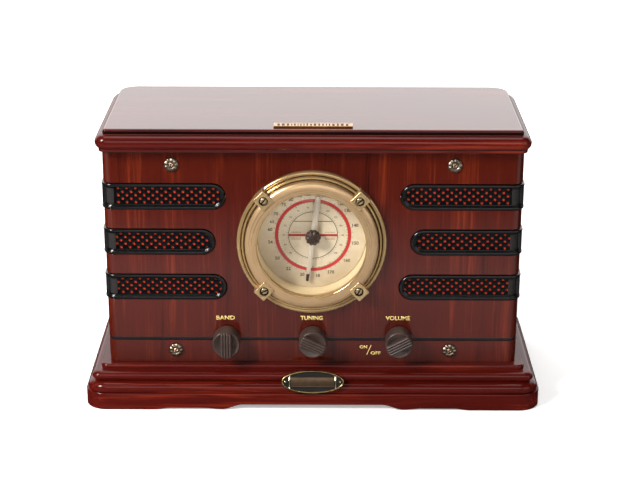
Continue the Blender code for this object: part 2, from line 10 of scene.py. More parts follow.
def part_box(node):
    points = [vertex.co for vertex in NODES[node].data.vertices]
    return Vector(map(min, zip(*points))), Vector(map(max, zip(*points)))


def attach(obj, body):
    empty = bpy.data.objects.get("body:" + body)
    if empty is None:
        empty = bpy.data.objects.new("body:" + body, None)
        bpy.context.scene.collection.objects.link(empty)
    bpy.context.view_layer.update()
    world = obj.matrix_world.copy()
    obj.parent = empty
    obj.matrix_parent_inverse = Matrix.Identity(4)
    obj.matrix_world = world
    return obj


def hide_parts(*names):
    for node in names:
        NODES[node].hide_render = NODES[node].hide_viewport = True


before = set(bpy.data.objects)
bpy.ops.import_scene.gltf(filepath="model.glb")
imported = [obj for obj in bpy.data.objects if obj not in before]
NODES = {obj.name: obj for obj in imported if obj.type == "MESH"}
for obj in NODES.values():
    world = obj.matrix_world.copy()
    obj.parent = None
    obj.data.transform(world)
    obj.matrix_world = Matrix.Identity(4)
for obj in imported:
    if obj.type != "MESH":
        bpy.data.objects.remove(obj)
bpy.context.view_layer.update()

MM = 0.001
PANEL_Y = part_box("front_panel")[0].y / MM
BODY_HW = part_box("front_panel")[1].x / MM
BODY_Z0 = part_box("front_panel")[0].z / MM
BODY_Z1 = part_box("front_panel")[1].z / MM
BODY_BACK = -146.2
CORNER_R = 9.0
FLAT_U = BODY_HW - CORNER_R
ARC = math.pi / 2 * CORNER_R
SLOT_Z = {"upper": 192.7, "middle": 151.4, "lower": 109.6}
SLOT_IN = {"upper": 75.6, "middle": 85.0, "lower": 75.6}
SLOT_HH = 11.45
END_U = FLAT_U + ARC + (-CORNER_R + 30.0)
DIAL_Z = 152.5
DIAL = (0.0, DIAL_Z)
BEZEL_C = (-1.1, 151.4)  # the bezel sits a little off the pointer's axis
KNOB_Z = 61.3
KNOB_X = {"band": -76.0, "tuning": 0.0, "volume": 76.0}
KNOB_BODY = {"band": "band_control", "tuning": "tuning_control", "volume": "volume_control"}
BAR_ANGLE = {"band": 90.0, "tuning": -25.0, "volume": 28.0}
TOP_Z = 234.7

# ---- materials --------------------------------------------------------------


def lin(*rgb):
    """sRGB 0..255 to a linear colour."""
    out = []
    for c in rgb:
        c = c / 255.0
        out.append(c / 12.92 if c <= 0.04045 else ((c + 0.055) / 1.055) ** 2.4)
    return (*out, 1.0)


class Look:
    """A material and short calls that add nodes to it."""

    def __init__(self, name):
        self.m = bpy.data.materials.new(name)
        self.m.use_nodes = True
        self.t = self.m.node_tree
        self.p = self.t.nodes["Principled BSDF"]
        self.co = self.t.nodes.new("ShaderNodeTexCoord").outputs["Object"]

    def put(self, socket, value):
        if isinstance(value, bpy.types.NodeSocket):
            self.t.links.new(value, socket)
        else:
            socket.default_value = value

    def set(self, **values):
        for name, value in values.items():
            self.put(self.p.inputs[name.replace("_", " ")], value)
        return self

    def math(self, op, a, b=0.0, c=0.0, clamp=False):
        n = self.t.nodes.new("ShaderNodeMath")
        n.operation = op
        n.use_clamp = clamp
        for s, v in zip(n.inputs, (a, b, c)):
            self.put(s, v)
        return n.outputs[0]

    def vec(self, op, a, b=(0, 0, 0)):
        n = self.t.nodes.new("ShaderNodeVectorMath")
        n.operation = op
        self.put(n.inputs[0], a)
        self.put(n.inputs[1], b)
        return n.outputs["Value"] if op in ("LENGTH", "DOT_PRODUCT") else n.outputs["Vector"]

    def split(self, v):
        n = self.t.nodes.new("ShaderNodeSeparateXYZ")
        self.put(n.inputs[0], v)
        return n.outputs

    def join(self, x, y, z):
        n = self.t.nodes.new("ShaderNodeCombineXYZ")
        for s, v in zip(n.inputs, (x, y, z)):
            self.put(s, v)
        return n.outputs[0]

    def noise(self, v, scale=1.0, detail=3.0, rough=0.55, dist=0.0, w=None):
        n = self.t.nodes.new("ShaderNodeTexNoise")
        self.put(n.inputs["Vector"], v)
        n.inputs["Scale"].default_value = scale
        n.inputs["Detail"].default_value = detail
        n.inputs["Roughness"].default_value = rough
        n.inputs["Distortion"].default_value = dist
        return n.outputs[0]

    def voronoi(self, v, scale=1.0, feature="F1", out="Distance", rand=1.0):
        n = self.t.nodes.new("ShaderNodeTexVoronoi")
        n.feature = feature
        self.put(n.inputs["Vector"], v)
        n.inputs["Scale"].default_value = scale
        n.inputs["Randomness"].default_value = rand
        return n.outputs[out]

    def ramp(self, fac, stops, mode="LINEAR"):
        n = self.t.nodes.new("ShaderNodeValToRGB")
        n.color_ramp.interpolation = mode
        el = n.color_ramp.elements
        while len(el) < len(stops):
            el.new(0.5)
        for e, (pos, col) in zip(el, stops):
            e.position = pos
            e.color = col if len(col) == 4 else (*col, 1.0)
        self.put(n.inputs[0], fac)
        return n.outputs[0]

    def remap(self, v, a, b, c, d):
        n = self.t.nodes.new("ShaderNodeMapRange")
        self.put(n.inputs[0], v)
        for s, x in zip(n.inputs[1:5], (a, b, c, d)):
            s.default_value = x
        return n.outputs[0]

    def mix(self, fac, a, b, mode="MIX"):
        n = self.t.nodes.new("ShaderNodeMix")
        n.data_type = "RGBA"
        n.blend_type = mode
        self.put(n.inputs[0], fac)
        self.put(n.inputs[6], a)
        self.put(n.inputs[7], b)
        return n.outputs[2]

    def bump(self, height, strength=0.3, distance=0.0002, normal=None):
        n = self.t.nodes.new("ShaderNodeBump")
        n.inputs["Strength"].default_value = strength
        n.inputs["Distance"].default_value = distance
        self.put(n.inputs["Height"], height)
        if normal is not None:
            self.put(n.inputs["Normal"], normal)
        return n.outputs[0]

    def scaled(self, x, y, z):
        return self.vec("MULTIPLY", self.co, (x, y, z))


def wood(name, run, dark, mid, light, coat=1.0, tint=(0.0, 0.0, 0.0, 1.0)):
    """Lacquered figured hardwood. run is the direction of the grain: 'x', 'z', or 'frame' for rails mitred at the corners."""
    k = Look(name)
    x, y, z = k.split(k.co)
    if run == "z":
        v = k.join(z, x, y)
    elif run == "x":
        v = k.join(x, y, z)
    else:
        ax = k.math("ABSOLUTE", x)
        side = k.math("MULTIPLY", k.math("GREATER_THAN", ax, BODY_HW * MM - 0.0015), k.math("GREATER_THAN", k.math("SUBTRACT", ax, BODY_HW * MM), k.math("SUBTRACT", PANEL_Y * MM, y)))
        a = k.math("ADD", k.math("MULTIPLY", side, y), k.math("MULTIPLY", k.math("SUBTRACT", 1.0, side), x))
        b = k.math("ADD", k.math("MULTIPLY", side, x), k.math("MULTIPLY", k.math("SUBTRACT", 1.0, side), y))
        v = k.join(a, b, z)
    warp = k.noise(k.vec("MULTIPLY", v, (5.0, 22.0, 22.0)), 1.0, 2.0, 0.5)
    v2 = k.vec("ADD", v, k.vec("MULTIPLY", k.join(0.0, warp, warp), (0.0, 0.006, 0.006)))
    figure = k.noise(k.vec("MULTIPLY", v2, (3.2, 85.0, 85.0)), 1.0, 4.0, 0.62)
    fibre = k.noise(k.vec("MULTIPLY", v2, (14.0, 520.0, 520.0)), 1.0, 3.0, 0.6)
    pores = k.noise(k.vec("MULTIPLY", v2, (70.0, 1500.0, 1500.0)), 1.0, 2.0, 0.5)
    broad = k.noise(k.vec("MULTIPLY", v, (6.0, 9.0, 9.0)), 1.0, 2.0, 0.5)
    f = k.math("ADD", k.math("MULTIPLY", figure, 0.62), k.math("MULTIPLY", fibre, 0.38))
    col = k.ramp(f, [(0.33, dark), (0.45, mid), (0.53, mid), (0.66, light)])
    col = k.mix(k.remap(broad, 0.3, 0.75, 0.0, 0.38), col, dark)
    col = k.mix(k.remap(pores, 0.60, 0.78, 0.0, 0.55), col, (dark[0] * 0.3, dark[1] * 0.3, dark[2] * 0.3, 1.0))
    k.set(Base_Color=col, Roughness=k.remap(fibre, 0.2, 0.8, 0.30, 0.42))
    k.set(Coat_Weight=coat, Coat_Roughness=0.03, Coat_IOR=1.5, IOR=1.45, Specular_IOR_Level=0.06)
    lacquer = k.noise(k.co, 55.0, 2.0, 0.5)
    k.set(Normal=k.bump(pores, 0.10, 0.00006))
    k.put(k.p.inputs["Coat Normal"], k.bump(lacquer, 0.05, 0.0004))
    return k.m


def plastic(name, base, other, rough, grain=900.0, bump=0.04, spec=0.5, coat=0.0):
    """Moulded plastic with a faint mottle, scuffs and moulded grain."""
    k = Look(name)
    n = k.noise(k.co, grain, 2.0, 0.6)
    big = k.noise(k.co, 70.0, 3.0, 0.6)
    scuff = k.noise(k.scaled(400.0, 90.0, 400.0), 1.0, 4.0, 0.7)
    k.set(Base_Color=k.mix(k.remap(big, 0.3, 0.7, 0.0, 1.0), base, other), Roughness=k.math("ADD", k.remap(scuff, 0.35, 0.75, rough * 0.85, rough * 1.3), 0.0))
    k.set(Specular_IOR_Level=spec, Coat_Weight=coat, Coat_Roughness=0.08)
    k.set(Normal=k.bump(n, bump, 0.0002))
    return k.m


def metal(name, base, stain, rough, scale=(300.0, 300.0, 300.0), amount=0.5, bump=0.06, spots=0.35, rough_to=None, metallic=1.0):
    """Metal with brushing along the axis of the smallest scale, tarnish in patches and small pits."""
    k = Look(name)
    brush = k.noise(k.scaled(*scale), 1.0, 4.0, 0.65)
    patch = k.noise(k.co, 120.0, 4.0, 0.65, 0.3)
    col = k.mix(k.math("MULTIPLY", k.remap(patch, 0.42, 0.72, 0.0, 1.0), amount), base, stain)
    col = k.mix(k.remap(brush, 0.35, 0.7, spots, 0.0), col, stain)
    k.set(Base_Color=col, Metallic=metallic, Roughness=k.remap(brush, 0.3, 0.7, rough if rough_to is None else rough_to, rough))
    k.set(Normal=k.bump(brush, bump, 0.0001))
    return k.m


def polar(k):
    """Radius and angle round the bezel's axis, in metres and radians."""
    x, y, z = k.split(k.co)
    x = k.math("SUBTRACT", x, BEZEL_C[0] * MM)
    dz = k.math("SUBTRACT", z, BEZEL_C[1] * MM)
    r = k.math("SQRT", k.math("ADD", k.math("MULTIPLY", x, x), k.math("MULTIPLY", dz, dz)))
    return x, dz, r, k.math("ARCTAN2", dz, x)


def turned(name, base, stain, rough, ring=1400.0, amount=0.35, bump=0.1, metallic=1.0):
    """Metal finished on a lathe, its fine lines running round the dial."""
    k = Look(name)
    x, dz, r, th = polar(k)
    lines = k.noise(k.join(k.math("MULTIPLY", r, ring), k.math("MULTIPLY", k.split(k.co)[1], ring), k.math("MULTIPLY", th, 0.6)), 1.0, 3.0, 0.6)
    patch = k.noise(k.co, 60.0, 4.0, 0.6, 0.2)
    col = k.mix(k.math("MULTIPLY", k.remap(patch, 0.4, 0.72, 0.0, 1.0), amount), base, stain)
    col = k.mix(k.remap(lines, 0.3, 0.7, 0.22, 0.0), col, stain)
    k.set(Base_Color=col, Metallic=metallic, Roughness=k.remap(lines, 0.3, 0.7, rough * 1.25, rough * 0.8))
    k.set(Normal=k.bump(lines, bump, 0.00008))
    return k.m


W_DARK, W_MID, W_LIGHT = lin(44, 8, 3), lin(72, 17, 6), lin(106, 35, 13)
wood_panel = wood("wood_panel", "z", W_DARK, W_MID, W_LIGHT)
wood_top = wood("wood_top", "frame", lin(42, 6, 4), lin(74, 13, 9), lin(112, 30, 18))
wood_rail = wood("wood_rail", "frame", lin(42, 5, 3), lin(76, 13, 7), lin(124, 36, 16), coat=0.38)

# Near-black copy of the wood: painted shade for the upright fillet on the top's front edge.
wood_painted_shade = wood("wood_painted_shade", "frame", lin(14, 3, 2), lin(26, 5, 3), lin(40, 9, 5), coat=0.5)

black_gloss = plastic("black_gloss", lin(9, 9, 10), lin(16, 15, 16), 0.16, bump=0.03)
black_screen = plastic("black_screen", lin(5, 4, 5), lin(12, 10, 10), 0.24, bump=0.03, spec=0.22)
# Black of the real inlay line, also used as painted shadow in the gaps of the top and base mouldings.
black_inlay_and_shadow_gaps = plastic("black_inlay_and_shadow_gaps", lin(10, 10, 12), lin(22, 20, 22), 0.32)
block_look = plastic("block_look", lin(30, 24, 23), lin(21, 17, 16), 0.75, grain=1500.0, bump=0.25)
knob_look = plastic("knob_look", lin(70, 54, 48), lin(54, 41, 37), 0.40, grain=700.0, bump=0.08)
hub_look = plastic("hub_look", lin(58, 40, 34), lin(38, 25, 22), 0.35, grain=700.0, bump=0.1)
inlet_look = plastic("inlet_look", lin(18, 18, 19), lin(28, 27, 27), 0.5, grain=1400.0, bump=0.15)
tick_dark = plastic("tick_dark", lin(40, 28, 20), lin(58, 44, 32), 0.6)
drum_look = plastic("drum_look", lin(212, 206, 190), lin(198, 188, 168), 0.5)
phenolic = plastic("phenolic", lin(92, 58, 38), lin(70, 42, 28), 0.6, grain=500.0)
ferrite_look = plastic("ferrite_look", lin(62, 60, 62), lin(48, 46, 48), 0.7, grain=1800.0, bump=0.3)

brass_bright = turned("brass_bright", lin(206, 174, 124), lin(150, 116, 74), 0.17, metallic=0.72)
brass_band = turned("brass_band", lin(196, 164, 124), lin(170, 132, 94), 0.30, ring=900.0, metallic=0.6)
# Near-black brass: painted shade for the grooves between the bezel's rings.
brass_groove_shade = turned("brass_groove_shade", lin(44, 32, 20), lin(14, 10, 7), 0.4)
lug_look = metal("lug_look", lin(214, 184, 136), lin(150, 116, 76), 0.24, (500.0, 300.0, 80.0), 0.3, metallic=0.7)
screw_look = metal("screw_look", lin(200, 176, 136), lin(104, 82, 56), 0.22, (300.0, 300.0, 900.0), 0.35, metallic=0.7)
# Dark metal: painted shade for the screw seats in the lugs and the floors of the screw slots.
recess_shade_metal = metal("recess_shade_metal", lin(46, 38, 28), lin(18, 14, 10), 0.45, amount=0.6)
pewter = metal("pewter", lin(176, 162, 142), lin(52, 38, 28), 0.30, (260.0, 260.0, 260.0), 0.85, 0.25, 0.5, 0.42)
pewter_core = metal("pewter_core", lin(172, 142, 120), lin(62, 44, 32), 0.28, (260.0, 260.0, 260.0), 0.7, 0.2, 0.4, 0.4)
badge_ring_look = metal("badge_ring_look", lin(176, 154, 104), lin(74, 58, 34), 0.26, (420.0, 200.0, 420.0), 0.55, 0.12)
badge_pin_look = metal("badge_pin_look", lin(236, 226, 200), lin(168, 150, 112), 0.18, amount=0.3)
badge_floor = plastic("badge_floor", lin(10, 9, 9), lin(22, 19, 17), 0.35)
badge_plate_look = metal("badge_plate_look", lin(122, 100, 80), lin(72, 56, 44), 0.38, (60.0, 900.0, 900.0), 0.4, 0.2)
plate_look = metal("plate_look", lin(214, 176, 134), lin(150, 106, 68), 0.18, (70.0, 900.0, 900.0), 0.45, 0.12)
# Darker brown copy of the plate's brass: painted shade for its front edge.
plate_front_shade = metal("plate_front_shade", lin(132, 88, 40), lin(70, 42, 18), 0.34, (70.0, 900.0, 900.0), 0.5, 0.12)
gold_paint = metal("gold_paint", lin(250, 226, 140), lin(214, 176, 90), 0.42, amount=0.3, metallic=0.2)
steel_look = metal("steel_look", lin(190, 188, 182), lin(110, 106, 100), 0.30, (900.0, 60.0, 900.0), 0.4)
tin_look = metal("tin_look", lin(186, 186, 184), lin(132, 128, 122), 0.38, (90.0, 500.0, 500.0), 0.5)
iron_look = metal("iron_look", lin(92, 92, 94), lin(44, 40, 38), 0.5, (60.0, 60.0, 1600.0), 0.6, 0.5)


def face_material():
    k = Look("face_cream")
    x, dz, r, th = polar(k)
    fine = k.noise(k.join(k.math("MULTIPLY", x, 110.0), 0.0, k.math("MULTIPLY", dz, 1300.0)), 1.0, 3.0, 0.6)
    age = k.noise(k.co, 34.0, 4.0, 0.6, 0.4)
    col = k.ramp(age, [(0.28, lin(184, 168, 146)), (0.5, lin(206, 194, 176)), (0.75, lin(222, 214, 200))])
    # Painted light: the face glows a little, and the glow rises towards the lower right, standing in for the lamps
    # lighting that side of the dial more.
    across = k.math("SUBTRACT", x, k.math("MULTIPLY", dz, 0.55))
    edge = k.remap(r, 0.026, 0.048, 0.0, 0.2)
    col = k.mix(edge, col, lin(188, 174, 150))
    col = k.mix(k.remap(fine, 0.35, 0.7, 0.18, 0.0), col, lin(186, 158, 118))
    k.set(Base_Color=col, Metallic=0.0, Roughness=k.remap(fine, 0.3, 0.7, 0.44, 0.34), Emission_Color=col, Emission_Strength=k.remap(across, -0.025, 0.045, 0.0, 0.02))
    k.set(Normal=k.bump(fine, 0.08, 0.00005))
    return k.m


def ink(name, a, b):
    k = Look(name)
    n = k.noise(k.co, 1600.0, 3.0, 0.6)
    k.set(Base_Color=k.mix(k.remap(n, 0.35, 0.7, 0.0, 1.0), a, b), Roughness=k.remap(n, 0.3, 0.7, 0.42, 0.6))
    return k.m


ink_red = ink("ink_red", lin(196, 40, 46), lin(170, 26, 34))
ink_dark = ink("ink_dark", lin(48, 44, 36), lin(80, 70, 52))
ink_brown = ink("ink_brown", lin(120, 78, 48), lin(150, 104, 66))
ink_green = ink("ink_green", lin(218, 214, 190), lin(200, 192, 166))


def glass_material():
    """Clear domed lens: nothing is bent, only a sheen added, so the lamps light the dial through it."""
    k = Look("lens_clear")
    t = k.t
    see = t.nodes.new("ShaderNodeBsdfTransparent")
    see.inputs[0].default_value = (0.985, 0.98, 0.955, 1.0)
    shine = t.nodes.new("ShaderNodeBsdfGlossy")
    shine.inputs["Roughness"].default_value = 0.015
    edge = t.nodes.new("ShaderNodeLayerWeight")
    edge.inputs[0].default_value = 0.5
    sheen = k.math("ADD", 0.025, k.math("MULTIPLY", k.math("POWER", edge.outputs["Facing"], 4.5), 0.8))
    dust = k.noise(k.co, 900.0, 2.0, 0.5)
    fac = k.math("MULTIPLY", sheen, k.remap(dust, 0.3, 0.7, 0.94, 1.0))
    mixer = t.nodes.new("ShaderNodeMixShader")
    t.links.new(fac, mixer.inputs[0])
    t.links.new(see.outputs[0], mixer.inputs[1])
    t.links.new(shine.outputs[0], mixer.inputs[2])
    out = [n for n in t.nodes if n.type == "OUTPUT_MATERIAL"][0]
    t.links.new(mixer.outputs[0], out.inputs["Surface"])
    t.nodes.remove(k.p)
    return k.m


def pointer_material():
    k = Look("pointer_grey")
    n = k.noise(k.scaled(500.0, 500.0, 120.0), 1.0, 3.0, 0.6)
    k.set(Base_Color=k.mix(n, lin(206, 196, 186), lin(178, 168, 158)), Roughness=k.remap(n, 0.3, 0.7, 0.25, 0.36), Alpha=0.88)
    return k.m


def cloth_material():
    k = Look("cloth_red")
    x, y, z = k.split(k.co)
    warp = k.math("SINE", k.math("MULTIPLY", x, 2 * math.pi / 0.00075))
    weft = k.math("SINE", k.math("MULTIPLY", z, 2 * math.pi / 0.00075))
    weave = k.math("MULTIPLY", warp, weft)
    fuzz = k.noise(k.co, 1400.0, 3.0, 0.7)
    patch = k.noise(k.co, 130.0, 3.0, 0.6)
    f = k.math("ADD", k.math("MULTIPLY", k.remap(weave, -1.0, 1.0, 0.0, 1.0), 0.4), k.math("MULTIPLY", fuzz, 0.6))
    col = k.ramp(f, [(0.15, lin(140, 20, 6)), (0.5, lin(214, 52, 16)), (0.85, lin(236, 98, 36))])
    col = k.mix(k.remap(patch, 0.35, 0.7, 0.0, 0.45), col, lin(176, 22, 8))
    k.set(Base_Color=col, Roughness=0.85, Sheen_Weight=0.4, Sheen_Roughness=0.4)
    k.set(Normal=k.bump(f, 0.6, 0.0003))
    return k.m


def board_material():
    """Pressed fibre board with a dark face."""
    k = Look("fibre_board")
    n = k.noise(k.scaled(700.0, 700.0, 160.0), 1.0, 4.0, 0.7)
    p = k.noise(k.co, 40.0, 4.0, 0.6)
    col = k.ramp(k.math("ADD", k.math("MULTIPLY", n, 0.6), k.math("MULTIPLY", p, 0.4)), [(0.3, lin(38, 24, 17)), (0.52, lin(62, 41, 29)), (0.75, lin(88, 62, 44))])
    k.set(Base_Color=col, Roughness=k.remap(n, 0.3, 0.7, 0.85, 0.7), Normal=k.bump(n, 0.35, 0.0003))
    return k.m


def circuit_material():
    k = Look("circuit_green")
    x, y, z = k.split(k.co)
    cell = k.voronoi(k.scaled(180.0, 240.0, 10.0), 1.0, "DISTANCE_TO_EDGE")
    trace = k.remap(cell, 0.03, 0.07, 1.0, 0.0)
    n = k.noise(k.co, 300.0, 3.0, 0.6)
    col = k.mix(n, lin(16, 74, 36), lin(24, 96, 48))
    col = k.mix(trace, col, lin(58, 140, 78))
    k.set(Base_Color=col, Roughness=k.remap(n, 0.3, 0.7, 0.3, 0.45), Normal=k.bump(trace, 0.3, 0.0001))
    return k.m


def cone_material():
    """Speaker: pressed steel basket and a ribbed paper cone, told apart by radius."""
    k = Look("speaker_mix")
    x, y, z = k.split(k.co)
    dx = k.math("SUBTRACT", k.math("ABSOLUTE", x), 0.127)
    dz = k.math("SUBTRACT", z, SLOT_Z["middle"] * MM)
    r = k.math("SQRT", k.math("ADD", k.math("MULTIPLY", dx, dx), k.math("MULTIPLY", dz, dz)))
    rib = k.math("SINE", k.math("MULTIPLY", r, 3800.0))
    n = k.noise(k.co, 500.0, 4.0, 0.7)
    paper = k.math("LESS_THAN", r, 0.0345)
    k.set(Base_Color=k.mix(paper, k.mix(n, lin(96, 98, 102), lin(70, 70, 74)), k.mix(n, lin(44, 40, 36), lin(66, 60, 52))))
    k.set(Metallic=k.math("SUBTRACT", 0.85, k.math("MULTIPLY", paper, 0.85)), Roughness=k.math("ADD", k.math("MULTIPLY", paper, 0.4), k.remap(n, 0.3, 0.7, 0.34, 0.5)))
    k.set(Normal=k.bump(k.math("MULTIPLY", rib, paper), 0.4, 0.0004))
    return k.m


def cord_material():
    k = Look("cord_braid")
    x, y, z = k.split(k.co)
    twist = k.math("SINE", k.math("MULTIPLY", k.math("ADD", k.math("ADD", x, z), k.math("MULTIPLY", y, 2.0)), 9000.0))
    n = k.noise(k.co, 2500.0, 2.0, 0.6)
    k.set(Base_Color=k.mix(k.remap(twist, -1.0, 1.0, 0.0, 1.0), lin(186, 170, 132), lin(140, 122, 86)), Roughness=k.remap(n, 0.3, 0.7, 0.7, 0.85), Normal=k.bump(twist, 0.4, 0.0001))
    return k.m


def lamp_material():
    k = Look("lamp_warm")
    n = k.noise(k.co, 260.0, 3.0, 0.6)
    k.set(Base_Color=k.mix(n, lin(246, 226, 176), lin(232, 204, 140)), Roughness=k.remap(n, 0.3, 0.7, 0.12, 0.22), Coat_Weight=0.5)
    return k.m


face_look = face_material()
glass_look = glass_material()
pointer_look = pointer_material()
cloth_look = cloth_material()
board_look = board_material()

# ---- mesh helpers -----------------------------------------------------------


def front(a, b, q):
    return (a, PANEL_Y - q, b)


def plan(x, q, z):
    return (x, PANEL_Y - q, z)


def side(q, z, x):
    return (x, PANEL_Y - q, z)


def arc(cx, cy, r, a0, a1, n):
    return [(cx + r * math.cos(math.radians(a0 + (a1 - a0) * i / n)), cy + r * math.sin(math.radians(a0 + (a1 - a0) * i / n))) for i in range(n + 1)]


def rounded(x0, x1, q0, q1, r_back, r_front, n=14):
    rb, rf = max(r_back, 0.3), max(r_front, 0.3)
    return (
        arc(x1 - rb, q0 + rb, rb, -90, 0, n)
        + arc(x1 - rf, q1 - rf, rf, 0, 90, n)
        + arc(x0 + rf, q1 - rf, rf, 90, 180, n)
        + arc(x0 + rb, q0 + rb, rb, 180, 270, n)
    )


def loft(loops, closed=False, caps=True, bm=None):
    bm = bm or bmesh.new()
    rows = [[bm.verts.new(p) for p in loop] for loop in loops]
    n = len(rows[0])
    pairs = list(zip(rows, rows[1:]))
    if closed:
        pairs.append((rows[-1], rows[0]))
    for a, b in pairs:
        for i in range(n):
            j = (i + 1) % n
            bm.faces.new((a[i], a[j], b[j], b[i]))
    if not closed and caps:
        bm.faces.new(rows[0])
        bm.faces.new(list(reversed(rows[-1])))
    return bm


def ring_points(centre, r, q, seg):
    return [front(centre[0] + r * math.cos(2 * math.pi * i / seg), centre[1] + r * math.sin(2 * math.pi * i / seg), q) for i in range(seg)]


def lathe(centre, profile, seg, hollow=False, bm=None):
    """Turns (radius, q) about an axis along y. A solid profile that starts or ends on the axis closes in a point."""
    if hollow:
        return loft([ring_points(centre, r, q, seg) for r, q in profile], closed=True, bm=bm)
    bm = bm or bmesh.new()
    first, last = profile[0], profile[-1]
    mid = [p for p in profile if p[0] > 1e-6]
    rows = [[bm.verts.new(p) for p in ring_points(centre, r, q, seg)] for r, q in mid]
    for a, b in zip(rows, rows[1:]):
        for i in range(seg):
            j = (i + 1) % seg
            bm.faces.new((a[i], a[j], b[j], b[i]))
    for (r, q), row, flip in ((first, rows[0], False), (last, rows[-1], True)):
        if r <= 1e-6:
            tip = bm.verts.new(front(centre[0], centre[1], q))
            for i in range(seg):
                j = (i + 1) % seg
                bm.faces.new((row[j], row[i], tip) if not flip else (row[i], row[j], tip))
        else:
            bm.faces.new(row if not flip else list(reversed(row)))
    return bm


def prism(points, low, high, place, bm=None):
    return loft([[place(a, b, low) for a, b in points], [place(a, b, high) for a, b in points]], bm=bm)


def box(x0, x1, q0, q1, z0, z1, bm=None):
    return prism([(x0, q0), (x1, q0), (x1, q1), (x0, q1)], z0, z1, plan, bm=bm)


def eased(points, low, high, place, ease, bm=None):
    """Prism of a convex outline about its own middle, with its front edge eased over."""
    cx = sum(p[0] for p in points) / len(points)
    cy = sum(p[1] for p in points) / len(points)
    reach = max(math.hypot(a - cx, b - cy) for a, b in points)
    loops = []
    for t, d in ((0.0, 0.0), (0.5, 0.13), (0.85, 0.45), (1.0, 1.0)):
        s = 1.0 - d * ease / reach
        loops.append([place(cx + (a - cx) * s, cy + (b - cy) * s, high - ease + ease * t) for a, b in points])
    return loft([[place(a, b, low) for a, b in points]] + loops, bm=bm)


def mesh_object(name, bm, looks, smooth=34.0):
    bmesh.ops.recalc_face_normals(bm, faces=bm.faces)
    if bm.calc_volume(signed=True) < 0:
        bmesh.ops.reverse_faces(bm, faces=bm.faces)
    bmesh.ops.transform(bm, matrix=Matrix.Scale(MM, 4), verts=bm.verts)
    mesh = bpy.data.meshes.new(name)
    bm.to_mesh(mesh)
    bm.free()
    for look in looks if isinstance(looks, (list, tuple)) else [looks]:
        if look is not None:
            mesh.materials.append(look)
    obj = bpy.data.objects.new(name, mesh)
    bpy.context.scene.collection.objects.link(obj)
    if smooth:
        mesh.shade_smooth()
        mesh.set_sharp_from_angle(angle=math.radians(smooth))
    return obj


def cut(obj, cutters, operation="DIFFERENCE"):
    others = []
    for bm in cutters:
        other = mesh_object("cutter", bm, None, smooth=0)
        mod = obj.modifiers.new("cut", "BOOLEAN")
        mod.operation, mod.solver, mod.object = operation, "EXACT", other
        others.append(other)
    bpy.context.view_layer.update()
    graph = bpy.context.evaluated_depsgraph_get()
    new = bpy.data.meshes.new_from_object(obj.evaluated_get(graph))
    obj.modifiers.clear()
    old, looks = obj.data, list(obj.data.materials)
    obj.data = new
    new.name = obj.name
    new.materials.clear()
    for m in looks:
        new.materials.append(m)
    bpy.data.meshes.remove(old)
    for other in others:
        data = other.data
        bpy.data.objects.remove(other, do_unlink=True)
        bpy.data.meshes.remove(data)
    bm = bmesh.new()
    bm.from_mesh(new)
    bmesh.ops.remove_doubles(bm, verts=bm.verts, dist=5e-7)
    bmesh.ops.dissolve_degenerate(bm, edges=bm.edges, dist=5e-7)
    bm.to_mesh(new)
    bm.free()
    new.shade_smooth()
    new.set_sharp_from_angle(angle=math.radians(34))
    return obj


def level(obj):
    """Keeps broad flat faces flat to the light where they meet a rounded edge."""
    mod = obj.modifiers.new("level", "WEIGHTED_NORMAL")
    mod.weight, mod.keep_sharp = 60, True
    return obj


def bevel(obj, width, segments=2, angle=40.0):
    mod = obj.modifiers.new("ease", "BEVEL")
    mod.width, mod.segments, mod.limit_method, mod.angle_limit = width * MM, segments, "ANGLE", math.radians(angle)
    mod.harden_normals = False
    return obj


def done(obj, body="cabinet", stands_for=()):
    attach(obj, body)
    if stands_for:
        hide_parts(*([stands_for] if isinstance(stands_for, str) else stands_for))
    return obj


def by_height(bm, test, index):
    """Gives faces whose middle passes the test another material slot."""
    for f in bm.faces:
        if test(f.calc_center_median()):
            f.material_index = index


# ---- case shell: front and sides as one bent board --------------------------

U1 = FLAT_U + ARC + (-CORNER_R - BODY_BACK)


def bend(bm, z=0.0, s=1):
    """Bends flat (u, v, n) geometry round the case at both corners."""
    for vert in bm.verts:
        u, v, n = vert.co
        t, au = (1 if u >= 0 else -1), abs(u)
        if au <= FLAT_U:
            x, q = au, n
        elif au <= FLAT_U + ARC:
            w = (au - FLAT_U) / CORNER_R
            x = FLAT_U + (CORNER_R + n) * math.sin(w)
            q = -CORNER_R + (CORNER_R + n) * math.cos(w)
        else:
            x, q = BODY_HW + n, -CORNER_R - (au - FLAT_U - ARC)
        vert.co = (s * t * x, PANEL_Y - q, v + z)
    return bm


